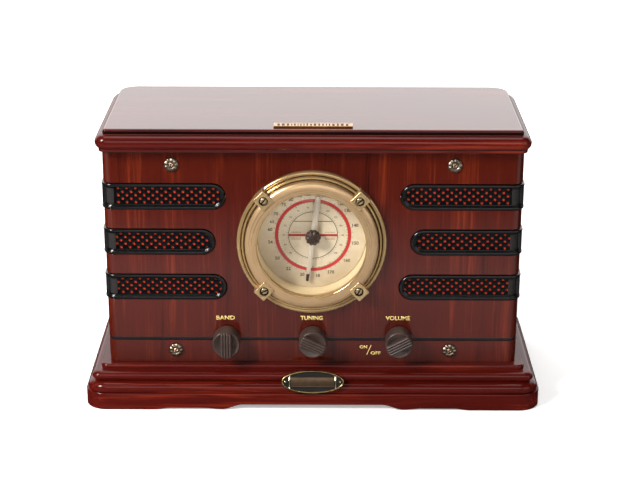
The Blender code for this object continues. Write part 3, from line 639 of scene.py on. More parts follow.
def plate_with_holes(outline, holes, steps, floor, slices=()):
    """A flat board in (u, v, n). Each hole is (medial a, medial b, radius at the face); its edge follows steps of (radius offset, n) down to the floor."""
    pts, edges, faces, kinds = [], [], [], []

    def add_loop(loop, kind):
        base = len(pts)
        pts.extend(Vector(p) for p in loop)
        kinds.extend([kind] * len(loop))
        faces.append(list(range(base, base + len(loop))))
        edges.extend((base + i, base + (i + 1) % len(loop)) for i in range(len(loop)))

    add_loop(outline, -1)
    for k, (a, b, r, seg) in enumerate(holes):
        if a == b:
            loop = arc(a[0], a[1], r, 0, 360, seg)[:-1]
        else:
            half = seg // 2
            loop = arc(b[0], b[1], r, -90, 90, half) + arc(a[0], a[1], r, 90, 270, half)
        add_loop(list(reversed(loop)), k)
    verts, _, tris, _, _, _ = geometry.delaunay_2d_cdt(pts, edges, faces, 2, 1e-5)
    bm = bmesh.new()
    vs = [bm.verts.new((p.x, p.y, 0.0)) for p in verts]
    for t in tris:
        try:
            bm.faces.new([vs[i] for i in t])
        except ValueError:
            pass
    for u in slices:
        bmesh.ops.bisect_plane(bm, geom=bm.verts[:] + bm.edges[:] + bm.faces[:], dist=1e-4, plane_co=(u, 0, 0), plane_no=(1, 0, 0))

    def seat(p):
        """Which hole's edge a point of the face lies on, and the unit direction from its medial line."""
        best = None
        for k, (a, b, r, seg) in enumerate(holes):
            a2, b2, p2 = Vector(a), Vector(b), Vector((p.x, p.y))
            d = b2 - a2
            t = 0.0 if d.length < 1e-9 else max(0.0, min(1.0, (p2 - a2).dot(d) / d.length_squared))
            foot = a2 + d * t
            off = (p2 - foot).length
            if best is None or abs(off - r) < best[0]:
                best = (abs(off - r), foot, (p2 - foot).normalized(), r)
        return best

    top = list(bm.faces)
    rim_edges = [e for e in bm.edges if len(e.link_faces) == 1]
    hole_edges, outer_edges = [], []
    lo_u, hi_u = min(p[0] for p in outline), max(p[0] for p in outline)
    for e in rim_edges:
        mid = (e.verts[0].co + e.verts[1].co) / 2
        (outer_edges if not holes or seat(mid)[0] > 0.6 else hole_edges).append(e)
    seats = {v: seat(v.co) for e in hole_edges for v in e.verts}
    back = {}
    for v in {v for f in top for v in f.verts}:
        if v in seats:
            _, foot, d, r = seats[v]
            p = foot + d * (r + steps[-1][0])
        else:
            p = v.co
        back[v] = bm.verts.new((p[0], p[1], floor))
    for f in top:
        bm.faces.new([back[v] for v in reversed(f.verts)])
    rows = {v: v for v in seats}
    for step in list(steps[:-1]) + [None]:
        nxt = {}
        for v in seats:
            if step is None:
                nxt[v] = back[v]
            else:
                _, foot, d, r = seats[v]
                p = foot + d * (r + step[0])
                nxt[v] = bm.verts.new((p[0], p[1], step[1]))
        for e in hole_edges:
            a, b = e.verts
            bm.faces.new((rows[a], rows[b], nxt[b], nxt[a]))
        rows = nxt
    for e in outer_edges:
        a, b = e.verts
        bm.faces.new((a, b, back[b], back[a]))
    return bm


holes = []
for row, z in SLOT_Z.items():
    for s in (-1, 1):
        hh = SLOT_HH + 0.3
        a = (SLOT_IN[row] - 0.3 + hh, z)
        b = (END_U + 0.3 - hh, z)
        if s < 0:
            a, b = (-b[0], z), (-a[0], z)
        holes.append((a, b, hh + 0.55, 40))
holes.append((BEZEL_C, BEZEL_C, 50.3 + 0.55, 96))
slices = []
for k in range(13):
    slices += [FLAT_U + ARC * k / 12, -FLAT_U - ARC * k / 12]
EASE = [(-0.12, -0.05), (-0.34, -0.2), (-0.5, -0.42), (-0.55, -0.8), (-0.55, -8.4)]
shell = plate_with_holes([(-U1, BODY_Z0), (U1, BODY_Z0), (U1, BODY_Z1), (-U1, BODY_Z1)], holes, EASE, -8.4, slices)
shell = mesh_object("case_shell", bend(shell), wood_panel)
R_IN = CORNER_R - 0.8
groove = (
    [(BODY_HW + 3, BODY_BACK - 3), (BODY_HW + 3, 3), (-BODY_HW - 3, 3), (-BODY_HW - 3, BODY_BACK - 3), (-BODY_HW + 0.8, BODY_BACK - 3)]
    + arc(-FLAT_U, -CORNER_R, R_IN, 180, 90, 12)
    + arc(FLAT_U, -CORNER_R, R_IN, 90, 0, 12)
    + [(BODY_HW - 0.8, BODY_BACK - 3)]
)
cut(shell, [prism(groove, 58.9, 61.9, plan)] + [lathe((x, KNOB_Z), [(5.1, 4), (5.1, -15)], 40) for x in KNOB_X.values()])
level(shell)
done(shell, stands_for=("front_panel", "side_left", "side_right"))

inlay_out = arc(-FLAT_U, -CORNER_R, CORNER_R - 0.12, 180, 90, 16) + arc(FLAT_U, -CORNER_R, CORNER_R - 0.12, 90, 0, 16)
inlay_in = arc(-FLAT_U, -CORNER_R, CORNER_R - 0.74, 180, 90, 16) + arc(FLAT_U, -CORNER_R, CORNER_R - 0.74, 90, 0, 16)
inlay_out = [(-BODY_HW + 0.12, BODY_BACK + 0.2)] + inlay_out + [(BODY_HW - 0.12, BODY_BACK + 0.2)]
inlay_in = [(-BODY_HW + 0.74, BODY_BACK + 0.2)] + inlay_in + [(BODY_HW - 0.74, BODY_BACK + 0.2)]
bm = bmesh.new()
sections = []
for (xo, qo), (xi, qi) in zip(inlay_out, inlay_in):
    sections.append([plan(xi, qi, 59.0), plan(xo + (xi - xo) * 0.25, qo + (qi - qo) * 0.25, 59.0), plan(xo, qo, 59.35), plan(xo, qo, 61.45), plan(xo + (xi - xo) * 0.25, qo + (qi - qo) * 0.25, 61.8), plan(xi, qi, 61.8)])
inlay = mesh_object("inlay_line", loft(sections), black_inlay_and_shadow_gaps)
cut(inlay, [lathe((x, KNOB_Z), [(5.2, 4), (5.2, -15)], 40) for x in KNOB_X.values()])
done(inlay)

# ---- top board --------------------------------------------------------------

bull = [(-1.75 + 6.25 * math.cos(math.radians(a)), 8.25 + 6.25 * math.sin(math.radians(a))) for a in range(-58, 90, 8)]
top_profile = (
    [(0.6, 0.0), (1.2, 0.15), (1.35, 0.6), (1.42, 1.6), (1.5, 2.4)]
    + bull
    + [(-2.2, 14.62), (-2.42, 14.8), (-2.5, 15.1), (-2.5, 17.2), (-2.62, 17.9), (-2.95, 18.5), (-3.5, 18.98), (-4.2, 19.22), (-5.0, 19.3)]
)
loops = []
for s, z in top_profile:
    over = max(0.0, s + 2.5)
    loops.append([plan(x, q, TOP_Z + z) for x, q in rounded(-BODY_HW - s, BODY_HW + s, BODY_BACK - s, s + 8.2, 15 + over, 3.0 + over, 16)])
bm = loft(loops)
# Painted shade: the upright fillet on the top's front edge gets the near-black wood.
by_height(bm, lambda c: TOP_Z + 15.0 < c.z / 1.0 < TOP_Z + 18.2, 1)
by_height(bm, lambda c: c.z > TOP_Z + 18.9, 3)
# Painted shadow: black lines along the top's bottom edge and where the strip meets the bullnose.
by_height(bm, lambda c: c.z < TOP_Z + 0.5 or TOP_Z + 2.35 < c.z < TOP_Z + 3.5, 2)
top = mesh_object("top_moulding", bm, [wood_rail, wood_painted_shade, black_inlay_and_shadow_gaps, wood_top], smooth=30)
level(top)
done(top, stands_for="top_board")

# ---- base board, skirts -----------------------------------------------------

base_profile = (
    [(18.6, 15.5, 16.5), (19.1, 15.6, 16.5), (19.35, 16.2, 16.5), (19.4, 17.4, 16.5), (19.35, 18.6, 16.5), (19.1, 19.8, 16.3), (18.7, 20.9, 16.1), (18.1, 21.8, 15.8), (17.3, 22.6, 15.4), (16.3, 23.25, 15.0), (15.2, 23.7, 14.0), (14.2, 23.95, 12.0)]
    + [(13.2, 24.05, 9.5), (12.6, 24.2, 8.5), (12.3, 24.5, 8.0)]
    + [(10.35 + 4.45 * math.cos(math.radians(a)), 28.6 + 4.4 * math.sin(math.radians(a)), 7.0) for a in range(-60, 88, 8)]
    + [(9.2, 33.0, 6.8), (7.6, 33.15, 6.6), (7.15, 33.5, 6.5), (7.1, 34.0, 6.5), (7.28, 35.0, 6.5), (7.3, 35.9, 6.5), (7.1, 36.7, 6.5), (6.7, 37.35, 6.4), (6.2, 37.8, 6.2), (5.6, 38.0, 6.0)]
)
loops = []
for s, z, r in base_profile:
    loops.append([plan(x, q, z) for x, q in rounded(-BODY_HW - s, BODY_HW + s, BODY_BACK - min(s, 3.8), s - (1.5 if s > 9 else 1.5 - 0.5 * min(1.0, (9 - s) / 1.7)), 3.0, r, 16)])
bm = loft(loops)
# Painted shadow: black on the base's top ledge under the cabinet and on the narrow ledge at 33 mm.
by_height(bm, lambda c: c.z > 37.5 or (32.95 < c.z < 33.6 and c.z < 37), 1)
plinth = mesh_object("plinth_moulding", bm, [wood_rail, black_inlay_and_shadow_gaps], smooth=30)

BADGE_LEAN = math.radians(15.0)
BADGE_C = (17.2, 26.5)


def badge_place(a, b, n):
    q = BADGE_C[0] + n * math.cos(BADGE_LEAN) - b * math.sin(BADGE_LEAN)
    z = BADGE_C[1] + n * math.sin(BADGE_LEAN) + b * math.cos(BADGE_LEAN)
    return (a, PANEL_Y - q, z)


def ellipse(a, b, n=96):
    return [(a * math.cos(2 * math.pi * i / n), b * math.sin(2 * math.pi * i / n)) for i in range(n)]


cut(plinth, [prism(ellipse(28.3, 10.8), -0.3, 14, badge_place)])
level(plinth)
done(plinth, stands_for="plinth_board")

HW, QF, CR, IT = BODY_HW + 21.0, 19.5, 19.0, 14.0


def smooth(t):
    t = max(0.0, min(1.0, t))
    return t * t * (3 - 2 * t)


def arch_height(x, spans):
    h = 0.0
    for a, b, low, high in spans:
        if abs(x) <= a:
            h = low + (high - low) * smooth((a - abs(x)) / (a - b))
    return h


FRONT_SPANS = [(140.0, 126.0, 0.0, 1.5), (96.0, 82.0, 1.5, 0.5), (80.0, 62.0, 0.5, 5.0)]


def rail(name, plan_points, bottom, inward):
    """A skirt rail as a strip of sections. plan_points are (outer point, inner point); bottom gives the height of its
    lower edge; its outer top and bottom edges are eased.
    """
    sections = []
    for (xo, qo), (xi, qi) in plan_points:
        h = bottom(xo, qo)
        e = 0.55

        def at(t, z):
            return plan(xo + (xi - xo) * t, qo + (qi - qo) * t, z)

        w = math.hypot(xi - xo, qi - qo)
        k = e / w
        sections.append(
            [at(1.0, h), at(k * 1.4, h), at(k * 0.6, h + 0.12), at(k * 0.15, h + 0.45), at(0, h + 1.0), at(0, 14.1), at(k * 0.2, 14.75), at(k * 0.8, 15.18), at(k * 1.6, 15.3), at(1.0, 15.3)]
        )
    return level(mesh_object(name, loft(sections), wood_rail))


def arc_pairs(cx, cq, a0, a1, n):
    return list(zip(arc(cx, cq, CR, a0, a1, n), arc(cx, cq, CR - IT, a0, a1, n)))


xs = [x * 1.0 for x in range(-176, 177, 2)]
pairs = arc_pairs(-HW + CR, QF - CR, 134.4, 90, 12) + [((x, QF), (x, QF - IT)) for x in xs] + arc_pairs(HW - CR, QF - CR, 90, 45.6, 12)
done(rail("skirt_front_rail", pairs, lambda x, q: arch_height(x, FRONT_SPANS) if q > 10 else 0.0, 1), stands_for="skirt_front")
for s, word in ((-1, "left"), (1, "right")):
    a0, a1 = (44.4, 0) if s > 0 else (135.6, 180)
    pairs = arc_pairs(s * (HW - CR), QF - CR, a0, a1, 12)
    qs = [-5 - 2.0 * i for i in range(72)]
    pairs += [((s * HW, q), (s * (HW - IT), q)) for q in qs if q > -147.5] + [((s * HW, -147.9), (s * (HW - IT), -149.6)), ((s * (HW - 0.6), -149.0), (s * (HW - IT + 0.2), -149.8)), ((s * (HW - 2.0), -149.9), (s * (HW - IT + 0.5), -149.9))]

    def low(x, q):
        return 4.0 * smooth((38 - abs(q + 68)) / 14) if abs(q + 68) < 38 else 0.0

    done(rail(f"skirt_{word}_rail", pairs, low, 1), stands_for=f"skirt_{word}")
rear = mesh_object("skirt_rear_rail", box(-HW + IT + 0.3, HW - IT - 0.3, -149.6, -136.0, 0.0, 15.3), wood_rail)
bevel(rear, 0.5)
done(rear, stands_for="skirt_rear")

# ---- grilles ----------------------------------------------------------------


def stadium(u0, u1, hh, d, n=14, steps=12):
    """Slot outline set in by d, with extra points where it crosses the corner."""
    r = hh - d
    mids = [FLAT_U + ARC * k / steps for k in range(steps + 1)]
    return (
        arc(u1 - hh, 0, r, -90, 90, n)
        + [(u, r) for u in reversed(mids)]
        + [(u0 + hh + (FLAT_U - u0 - hh) * t, r) for t in (0.66, 0.33)]
        + arc(u0 + hh, 0, r, 90, 270, n)
        + [(u0 + hh + (FLAT_U - u0 - hh) * t, -r) for t in (0.33, 0.66)]
        + [(u, -r) for u in mids]
    )


BEZEL = [
    (0.0, -8.0), (0.0, 0.55), (0.12, 0.95), (0.4, 1.32), (0.8, 1.54), (1.3, 1.62), (1.9, 1.58), (2.35, 1.42), (2.6, 1.12), (2.72, 0.8),
    (3.1, 0.55), (3.45, 0.42), (3.6, 0.22), (3.62, -1.2), (3.72, -1.32), (4.1, -1.34), (4.1, -2.2), (1.8, -2.2), (1.8, -8.0),
]
PITCH, ROW = 7.45, 3.1
for s, word in ((-1, "left"), (1, "right")):
    for row, z in SLOT_Z.items():
        u0 = SLOT_IN[row]
        loops = [[(u, v, n) for u, v in stadium(u0, END_U, SLOT_HH, d)] for d, n in BEZEL]
        rim = mesh_object(f"grille_rim_{row}_{word}", bend(loft(loops, closed=True), z, s), black_gloss, smooth=50)
        done(rim, stands_for=f"grille_bezel_{row}_{word}")

        # corner block
        r_end = SLOT_HH - 4.15
        us = [171.3, 171.6] + [FLAT_U + ARC * k / 12 for k in range(13)] + [END_U - SLOT_HH + r_end * math.sin(math.radians(a)) for a in range(0, 90, 9)] + [END_U - SLOT_HH + r_end * 0.999]
        us = sorted(us)
        sections = []
        for i, u in enumerate(us):
            past = u - (END_U - SLOT_HH)
            h = r_end if past <= 0 else math.sqrt(max(r_end * r_end - past * past, 0.05))
            top_n = -1.75 if i == 0 else -1.42
            sections.append([(u, -h, -2.15), (u, -h, top_n - 0.12), (u, -h + 0.15, top_n), (u, 0.0, top_n + 0.04), (u, h - 0.15, top_n), (u, h, top_n - 0.12), (u, h, -2.15)])
        done(mesh_object(f"grille_block_{row}_{word}", bend(loft(sections), z, s), block_look))

        # bar closing the front part of the slot at the corner
        bar = []
        for u, n0, n1 in ((180.3, -2.1, 0.7), (180.45, -2.1, 1.05), (180.9, -2.1, 1.3), (181.6, -2.1, 1.42), (182.6, -2.1, 1.45), (183.6, -2.1, 1.3), (184.1, -2.1, 0.95)):
            h = SLOT_HH - 2.75
            bar.append([(u, -h, n0), (u, -h, n1), (u, 0.0, n1), (u, h, n1), (u, h, n0)])
        done(mesh_object(f"grille_bar_{row}_{word}", bend(loft(bar), z, s), black_gloss, smooth=50))

        # perforated screen, cloth behind it
        hh = SLOT_HH - 2.1
        outline = arc(u0 + SLOT_HH, 0, hh, 90, 270, 30) + [(FLAT_U - 0.3, -hh), (FLAT_U - 0.3, hh)]
        dots = []
        for j in range(-2, 3):
            v = -ROW * j
            start = {"upper": 167.9, "middle": 166.9, "lower": 166.8}[row] - (PITCH / 2 if j % 2 else 0.0)
            k = -1 if j % 2 else 0
            while True:
                u = start - PITCH * k
                k += 1
                if u > 171.0:
                    continue
                if u < u0:
                    break
                past = (u0 + SLOT_HH) - u
                room = (SLOT_HH - 4.1) - (abs(v) if past <= 0 else math.hypot(past, v))
                if room > -0.2:
                    dots.append(((u, v), (u, v), 1.34, 18))
        screen = plate_with_holes(outline, dots, [(-0.12, -0.06), (-0.2, -0.24), (-0.2, -0.85)], -0.85)
        for vert in screen.verts:
            vert.co.z -= 2.32
        done(mesh_object(f"grille_screen_{row}_{word}", bend(screen, z, s), black_screen), stands_for=f"grille_insert_{row}_{word}")
        cloth = []
        n_rows = 46
        for i in range(n_rows + 1):
            u = u0 + 2.2 + (FLAT_U - 0.4 - u0 - 2.2) * i / n_rows
            past = (u0 + SLOT_HH) - u
            h = hh - 0.05 if past <= 0 else math.sqrt(max((hh - 0.05) ** 2 - past * past, 0.04))
            sections_row = []
            for jj in range(13):
                v = -h + 2 * h * jj / 12
                sections_row.append((u, v, -3.36 + 0.05 * math.sin(u * 1.1 + v * 0.7) + 0.04 * math.sin(v * 2.1 - u * 0.4)))
            sections_row += [(u, h, -3.58), (u, -h, -3.58)]
            cloth.append(sections_row)
        done(mesh_object(f"grille_cloth_{row}_{word}", bend(loft(cloth), z, s), cloth_look, smooth=60), stands_for=f"grille_insert_{row}_{word}")

# ---- dial -------------------------------------------------------------------

SEG = 192
bez = [
    (65.0, 0.31), (65.0, 2.6), (64.85, 3.2), (64.45, 3.7), (63.8, 3.98), (63.1, 4.05), (62.5, 3.95), (62.05, 3.65), (61.8, 3.2), (61.6, 2.6), (61.2, 2.3), (60.95, 2.6),
    (60.85, 5.6), (60.72, 6.3), (60.4, 6.7), (59.9, 6.86), (59.4, 6.7), (59.05, 6.3), (58.9, 5.6), (58.7, 5.1), (58.3, 5.0), (58.1, 5.4),
    (58.0, 8.2), (57.85, 9.0), (57.4, 9.75), (56.4, 10.5), (55.0, 11.15), (53.0, 11.65), (51.0, 11.9), (49.2, 12.02), (48.2, 12.1), (47.6, 12.05), (47.15, 11.8), (46.9, 11.35), (46.85, 10.5), (47.05, 9.9), (48.9, 9.7), (48.9, 0.31),
]
bm = lathe(BEZEL_C, bez, SEG, hollow=True)


def bezel_slot(c):
    r = math.hypot(c.x - BEZEL_C[0], c.z - BEZEL_C[1])
    q = PANEL_Y - c.y
    # Painted shade: the two grooves get the near-black brass.
    if (60.85 < r < 61.85 and q < 3.4) or (57.95 < r < 58.95 and q < 6.2 and q > 1):
        return 2
    if 48.4 < r < 57.0 and q > 9:
        return 1
    return 0


for f in bm.faces:
    f.material_index = bezel_slot(f.calc_center_median())
done(mesh_object("bezel_ring", bm, [brass_bright, brass_band, brass_groove_shade], smooth=50), stands_for="dial_bezel")

LUG_R = 58.3
SCREW_TURN = (38.0, 52.0, 24.0, 64.0)
for k in range(4):
    a = math.radians(45 + 90 * k)
    cx, cz = BEZEL_C[0] + LUG_R * math.cos(a), BEZEL_C[1] + LUG_R * math.sin(a)

    def lug(u, v, q, a=a, cx=cx, cz=cz):
        return (cx + u * math.cos(a) - v * math.sin(a), PANEL_Y - q, cz + u * math.sin(a) + v * math.cos(a))

    def square(half_u0, half_u1, half_v, r, n=64):
        """Rounded square as a loop of rays from the screw's centre."""
        pts = []
        for i in range(n):
            th = 2 * math.pi * i / n
            du, dv = math.cos(th), math.sin(th)
            hu = half_u1 if du >= 0 else half_u0
            best = 1e9
            if abs(du) > 1e-9:
                best = min(best, hu / abs(du))
            if abs(dv) > 1e-9:
                best = min(best, half_v / abs(dv))
            u, v = du * best, dv * best
            # round the corner
            ku, kv = abs(u) - (hu - r), abs(v) - (half_v - r)
            if ku > 0 and kv > 0:
                cu, cv = (hu - r) * math.copysign(1, u), (half_v - r) * math.copysign(1, v)
                lo, hi = 0.0, best
                for _ in range(30):
                    m = (lo + hi) / 2
                    if math.hypot(max(abs(du * m) - (hu - r), 0), max(abs(dv * m) - (half_v - r), 0)) < r:
                        lo = m
                    else:
                        hi = m
                u, v = du * lo, dv * lo
            pts.append((u, v))
        return pts

    def circle(r, n=64):
        return [(r * math.cos(2 * math.pi * i / n), r * math.sin(2 * math.pi * i / n)) for i in range(n)]

    loops = [
        [lug(u, v, 0.31) for u, v in square(6.6, 7.0, 6.2, 0.9)],
        [lug(u, v, 12.3) for u, v in square(6.6, 7.0, 6.2, 0.9)],
        [lug(u, v, 12.75) for u, v in square(6.45, 6.85, 6.05, 0.9)],
        [lug(u, v, 13.0) for u, v in square(6.1, 6.5, 5.7, 0.9)],
        [lug(u, v, 13.08) for u, v in square(5.6, 6.0, 5.2, 0.9)],
        [lug(u, v, 13.08) for u, v in circle(4.25)],
        [lug(u, v, 13.0) for u, v in circle(4.0)],
        [lug(u, v, 12.8) for u, v in circle(3.9)],
        [lug(u, v, 11.2) for u, v in circle(3.85)],
        [lug(u, v, 11.02) for u, v in circle(3.4)],
        [lug(u, v, 11.0) for u, v in circle(1.0)],
    ]
    bm = loft(loops)
    # Painted shade: the seat the screw head sits in gets the dark metal.
    for f in bm.faces:
        c = f.calc_center_median()
        r = math.hypot(c.x - cx, c.z - cz)
        if PANEL_Y - c.y > 10.9 and r < 3.95:
            f.material_index = 1
    done(mesh_object(f"lug_{k + 1}", bm, [lug_look, recess_shade_metal], smooth=40), stands_for="dial_bezel")
    head = lathe((cx, cz), [(1.5, 10.9), (2.9, 11.0), (3.05, 11.2), (3.05, 11.9), (2.9, 12.3), (2.4, 12.68), (1.6, 12.9), (0.8, 12.98), (0.0, 13.0)], 40)
    screw = mesh_object(f"lug_screw_{k + 1}", head, screw_look)
    turn = math.radians(SCREW_TURN[k])

    def slot_place(u, v, q, cx=cx, cz=cz, t=turn):
        return (cx + u * math.cos(t) - v * math.sin(t), PANEL_Y - q, cz + u * math.sin(t) + v * math.cos(t))

    cut(screw, [prism([(-5, -0.62), (5, -0.62), (5, 0.62), (-5, 0.62)], 11.9, 14.0, slot_place)])
    # Painted shade: the floor of the screw's slot gets the dark metal, as the same brass there would light like the
    # head.
    screw.data.materials.append(recess_shade_metal)
    for poly in screw.data.polygons:
        if PANEL_Y - poly.center.y / MM < 12.0 and abs(poly.normal.y) > 0.9 and math.hypot(poly.center.x / MM - cx, poly.center.z / MM - cz) < 2.9:
            poly.material_index = 1
    done(screw, stands_for=f"dial_screw_{k + 1}")

done(
    mesh_object(
        "lens_dome",
        lathe(
            BEZEL_C,
            [(0.0, 12.72), (8, 12.62), (16, 12.3), (24, 11.75), (32, 10.85), (39, 9.55), (44, 8.15), (46.2, 7.4), (48.2, 7.4), (48.35, 7.6), (48.35, 9.1), (48.1, 9.3), (46.1, 9.5), (43.5, 10.25), (38, 11.6), (30, 12.85), (22, 13.7), (14, 14.25), (7, 14.52), (0.0, 14.6)],
            128,
        ),
        glass_look,
        smooth=60,
    ),
    stands_for="dial_lens",
)
pan_mat = turned("pan_cream", lin(240, 224, 190), lin(214, 190, 146), 0.42, metallic=0.15)
done(
    mesh_object(
        "dial_well",
        lathe(
            BEZEL_C,
            [(4.5, -17.2), (46.4, -17.2), (47.4, -16.9), (48.0, -16.2), (48.2, -15.2), (48.2, -0.5), (48.4, -0.2), (49.5, -0.2), (49.7, -0.4), (49.7, -12.4), (55.8, -12.4), (56.0, -12.6), (56.0, -13.8), (55.8, -14.0), (49.7, -14.0), (49.7, -19.0), (4.5, -19.0)],
            128,
            hollow=True,
        ),
        pan_mat,
    ),
    stands_for="dial_pan",
)
FACE_Q = -15.2
done(
    mesh_object("face_disc", lathe(BEZEL_C, [(4.5, FACE_Q - 0.1), (4.7, FACE_Q), (47.0, FACE_Q), (47.6, FACE_Q - 0.15), (47.8, FACE_Q - 0.5), (47.8, -16.8), (4.5, -16.8)], 128, hollow=True), face_look),
    stands_for="dial_face",
)


def print_ring(name, r0, r1, look, seg=160, thick=0.06, base=0.0):
    q = FACE_Q + base
    return done(mesh_object(name, lathe(DIAL, [(r0, q + 0.001), (r1, q + 0.001), (r1, q + thick), (r0, q + thick)], seg, hollow=True), look))


print_ring("print_red_ring", 30.6, 33.5, ink_red)
print_ring("print_inner_circle", 21.2, 21.75, ink_dark)
print_ring("print_pale_ring", 28.9, 30.3, ink_green)


def marks(name, items, look, seg_q=0.06, base=0.0):
    """Small printed bars: each is (radius, angle in degrees clockwise from the top, radial length, width)."""
    bm = bmesh.new()
    for r, deg, length, width in items:
        a = math.radians(90 - deg)

        def place(u, v, q, a=a, r=r):
            return ((r + u) * math.cos(a) - v * math.sin(a), PANEL_Y - q, DIAL_Z + (r + u) * math.sin(a) + v * math.cos(a))

        prism([(-length / 2, -width / 2), (length / 2, -width / 2), (length / 2, width / 2), (-length / 2, width / 2)], FACE_Q + base + 0.001, FACE_Q + base + seg_q, place, bm=bm)
    return done(mesh_object(name, bm, look, smooth=0))


items = []
for i in range(72):
    deg = i * 5.0
    big = i % 6 == 0
    items.append((30.15 if not big else 29.9, deg, 1.2 if not big else 1.8, 0.6 if not big else 0.85))
marks("print_ticks", items, ink_dark, base=0.0)
items = [(34.4, i * 7.5 + 3.0, 1.1, 0.34) for i in range(48)]
marks("print_outer_ticks", items, ink_dark)
items = []
for i in range(60):
    deg = i * 6.0
    items.append((22.7, deg, 1.1, 0.28))
marks("print_inner_ticks", items, ink_dark)
# lines across the inner circle
bm = prism([(-16.6, 12.4), (16.6, 12.4), (16.6, 13.15), (-16.6, 13.15)], FACE_Q + 0.001, FACE_Q + 0.06, lambda a, b, q: front(a, b + DIAL_Z, q))
done(mesh_object("print_upper_line", bm, ink_brown, smooth=0))
bm = prism([(-21.2, -1.05), (21.2, -1.05), (21.2, 1.05), (-21.2, 1.05)], FACE_Q + 0.001, FACE_Q + 0.07, lambda a, b, q: front(a, b + DIAL_Z, q))
done(mesh_object("print_red_line", bm, ink("ink_red_deep", lin(176, 28, 30), lin(150, 20, 24)), smooth=0))
bm = bmesh.new()
for s in (-1, 1):
    for i in range(7):
        x = s * (11.0 + 1.25 * i)
        for b0, b1 in ((2.0, 3.3), (-3.4, -2.1)):
            prism([(x - 0.22, b0), (x + 0.22, b0), (x + 0.22, b1), (x - 0.22, b1)], FACE_Q + 0.001, FACE_Q + 0.06, lambda a, b, q: front(a, b + DIAL_Z, q), bm=bm)
    prism([(s * 15 - 4.5, -4.1), (s * 15 + 4.5, -4.1), (s * 15 + 4.5, -3.85), (s * 15 - 4.5, -3.85)], FACE_Q + 0.001, FACE_Q + 0.06, lambda a, b, q: front(a, b + DIAL_Z, q), bm=bm)
done(mesh_object("print_line_marks", bm, ink_brown, smooth=0))


def lettering(name, items, look, body="cabinet", depth=0.05, bold=0.008):
    """Words and numbers as thin raised shapes: each is (text, x, z, height, angle, q, width or None)."""
    joined = bmesh.new()
    for text, x, z, height, ang, q, width in items:
        cu = bpy.data.curves.new("words", "FONT")
        cu.body = text
        cu.align_x, cu.align_y = "CENTER", "CENTER"
        cu.size = 1.0
        cu.extrude = 0.0
        cu.offset = bold
        cu.resolution_u = 3
        tmp = bpy.data.objects.new("words", cu)
        bpy.context.scene.collection.objects.link(tmp)
        bpy.context.view_layer.update()
        me = bpy.data.meshes.new_from_object(tmp.evaluated_get(bpy.context.evaluated_depsgraph_get()))
        bpy.data.objects.remove(tmp, do_unlink=True)
        bpy.data.curves.remove(cu)
        if not me.vertices:
            continue
        xs_ = [v.co.x for v in me.vertices]
        ys_ = [v.co.y for v in me.vertices]
        mx, my = (min(xs_) + max(xs_)) / 2, (min(ys_) + max(ys_)) / 2
        ky = height / (max(ys_) - min(ys_))
        kx = ky if width is None else width / (max(xs_) - min(xs_))
        part = bmesh.new()
        part.from_mesh(me)
        bpy.data.meshes.remove(me)
        bmesh.ops.remove_doubles(part, verts=part.verts, dist=1e-5)
        made = bmesh.ops.extrude_face_region(part, geom=part.faces[:])
        lifted = {v for v in made["geom"] if isinstance(v, bmesh.types.BMVert)}
        a = math.radians(ang)
        for v in part.verts:
            u, w = (v.co.x - mx) * kx, (v.co.y - my) * ky
            v.co = front(x + u * math.cos(a) - w * math.sin(a), z + u * math.sin(a) + w * math.cos(a), q + (depth if v in lifted else 0.002))
        bmesh.ops.recalc_face_normals(part, faces=part.faces)
        tmp_me = bpy.data.meshes.new("tmp")
        part.to_mesh(tmp_me)
        part.free()
        joined.from_mesh(tmp_me)
        bpy.data.meshes.remove(tmp_me)
    mesh = bpy.data.meshes.new(name)
    bmesh.ops.transform(joined, matrix=Matrix.Scale(MM, 4), verts=joined.verts)
    joined.to_mesh(mesh)
    joined.free()
    mesh.materials.append(look)
    obj = bpy.data.objects.new(name, mesh)
    bpy.context.scene.collection.objects.link(obj)
    return done(obj, body)


outer = [
    ("54", -99.8), ("60", -82), ("65", -70.8), ("70", -58.8), ("75", -42.5), ("80", -30.4), ("90", -18), ("100", -7), ("110", 16), ("120", 39.5),
    ("130", 52.8), ("140", 76), ("150", 101), ("160", 128), ("170", 155), ("18", 173.4), ("20", -165.4), ("22", -145.2), ("50", -124.5),
]
items = []
for text, deg in outer:
    a = math.radians(90 - deg)
    r = 38.0
    items.append((text, r * math.cos(a), DIAL_Z + r * math.sin(a), 3.1, 0.0, FACE_Q, None))
lettering("print_outer_numbers", items, ink_dark, bold=0.022)
items = []
for i, text in enumerate(["88", "89", "90", "92", "94", "95", "96", "98", "100", "102", "104", "105", "106", "108"]):
    deg = -130 + i * 20.0
    a = math.radians(90 - deg)
    r = 25.8
    items.append((text, r * math.cos(a), DIAL_Z + r * math.sin(a), 1.6, 0.0, FACE_Q, None))
lettering("print_inner_numbers", items, ink_dark)

TILT = math.radians(-7.0)


def needle_place(a, b, q):
    return (a * math.cos(TILT) - b * math.sin(TILT), PANEL_Y - q, DIAL_Z + a * math.sin(TILT) + b * math.cos(TILT))


def blade(points):
    """Needle as sections across its length: each is (along, half width)."""
    sections = []
    for b, w in points:
        sections.append([needle_place(-w, b, -12.5), needle_place(-w, b, -11.75), needle_place(-w * 0.62, b, -11.45), needle_place(0, b, -11.4), needle_place(w * 0.62, b, -11.45), needle_place(w, b, -11.75), needle_place(w, b, -12.5)])
    return loft(sections)


done(mesh_object("needle", blade([(-35.4, 1.75), (-30, 1.85), (-5.0, 2.1), (-3.2, 3.4), (3.2, 3.4), (5.0, 2.85), (20, 2.65), (35.6, 2.35), (36.5, 2.1), (37.0, 1.6)]), pointer_look, smooth=50), "dial_indicator", "pointer")
done(mesh_object("needle_tail", blade([(-42.0, 0.9), (-41.5, 1.25), (-35.5, 1.4)]), hub_look, smooth=50), "dial_indicator", "pointer")


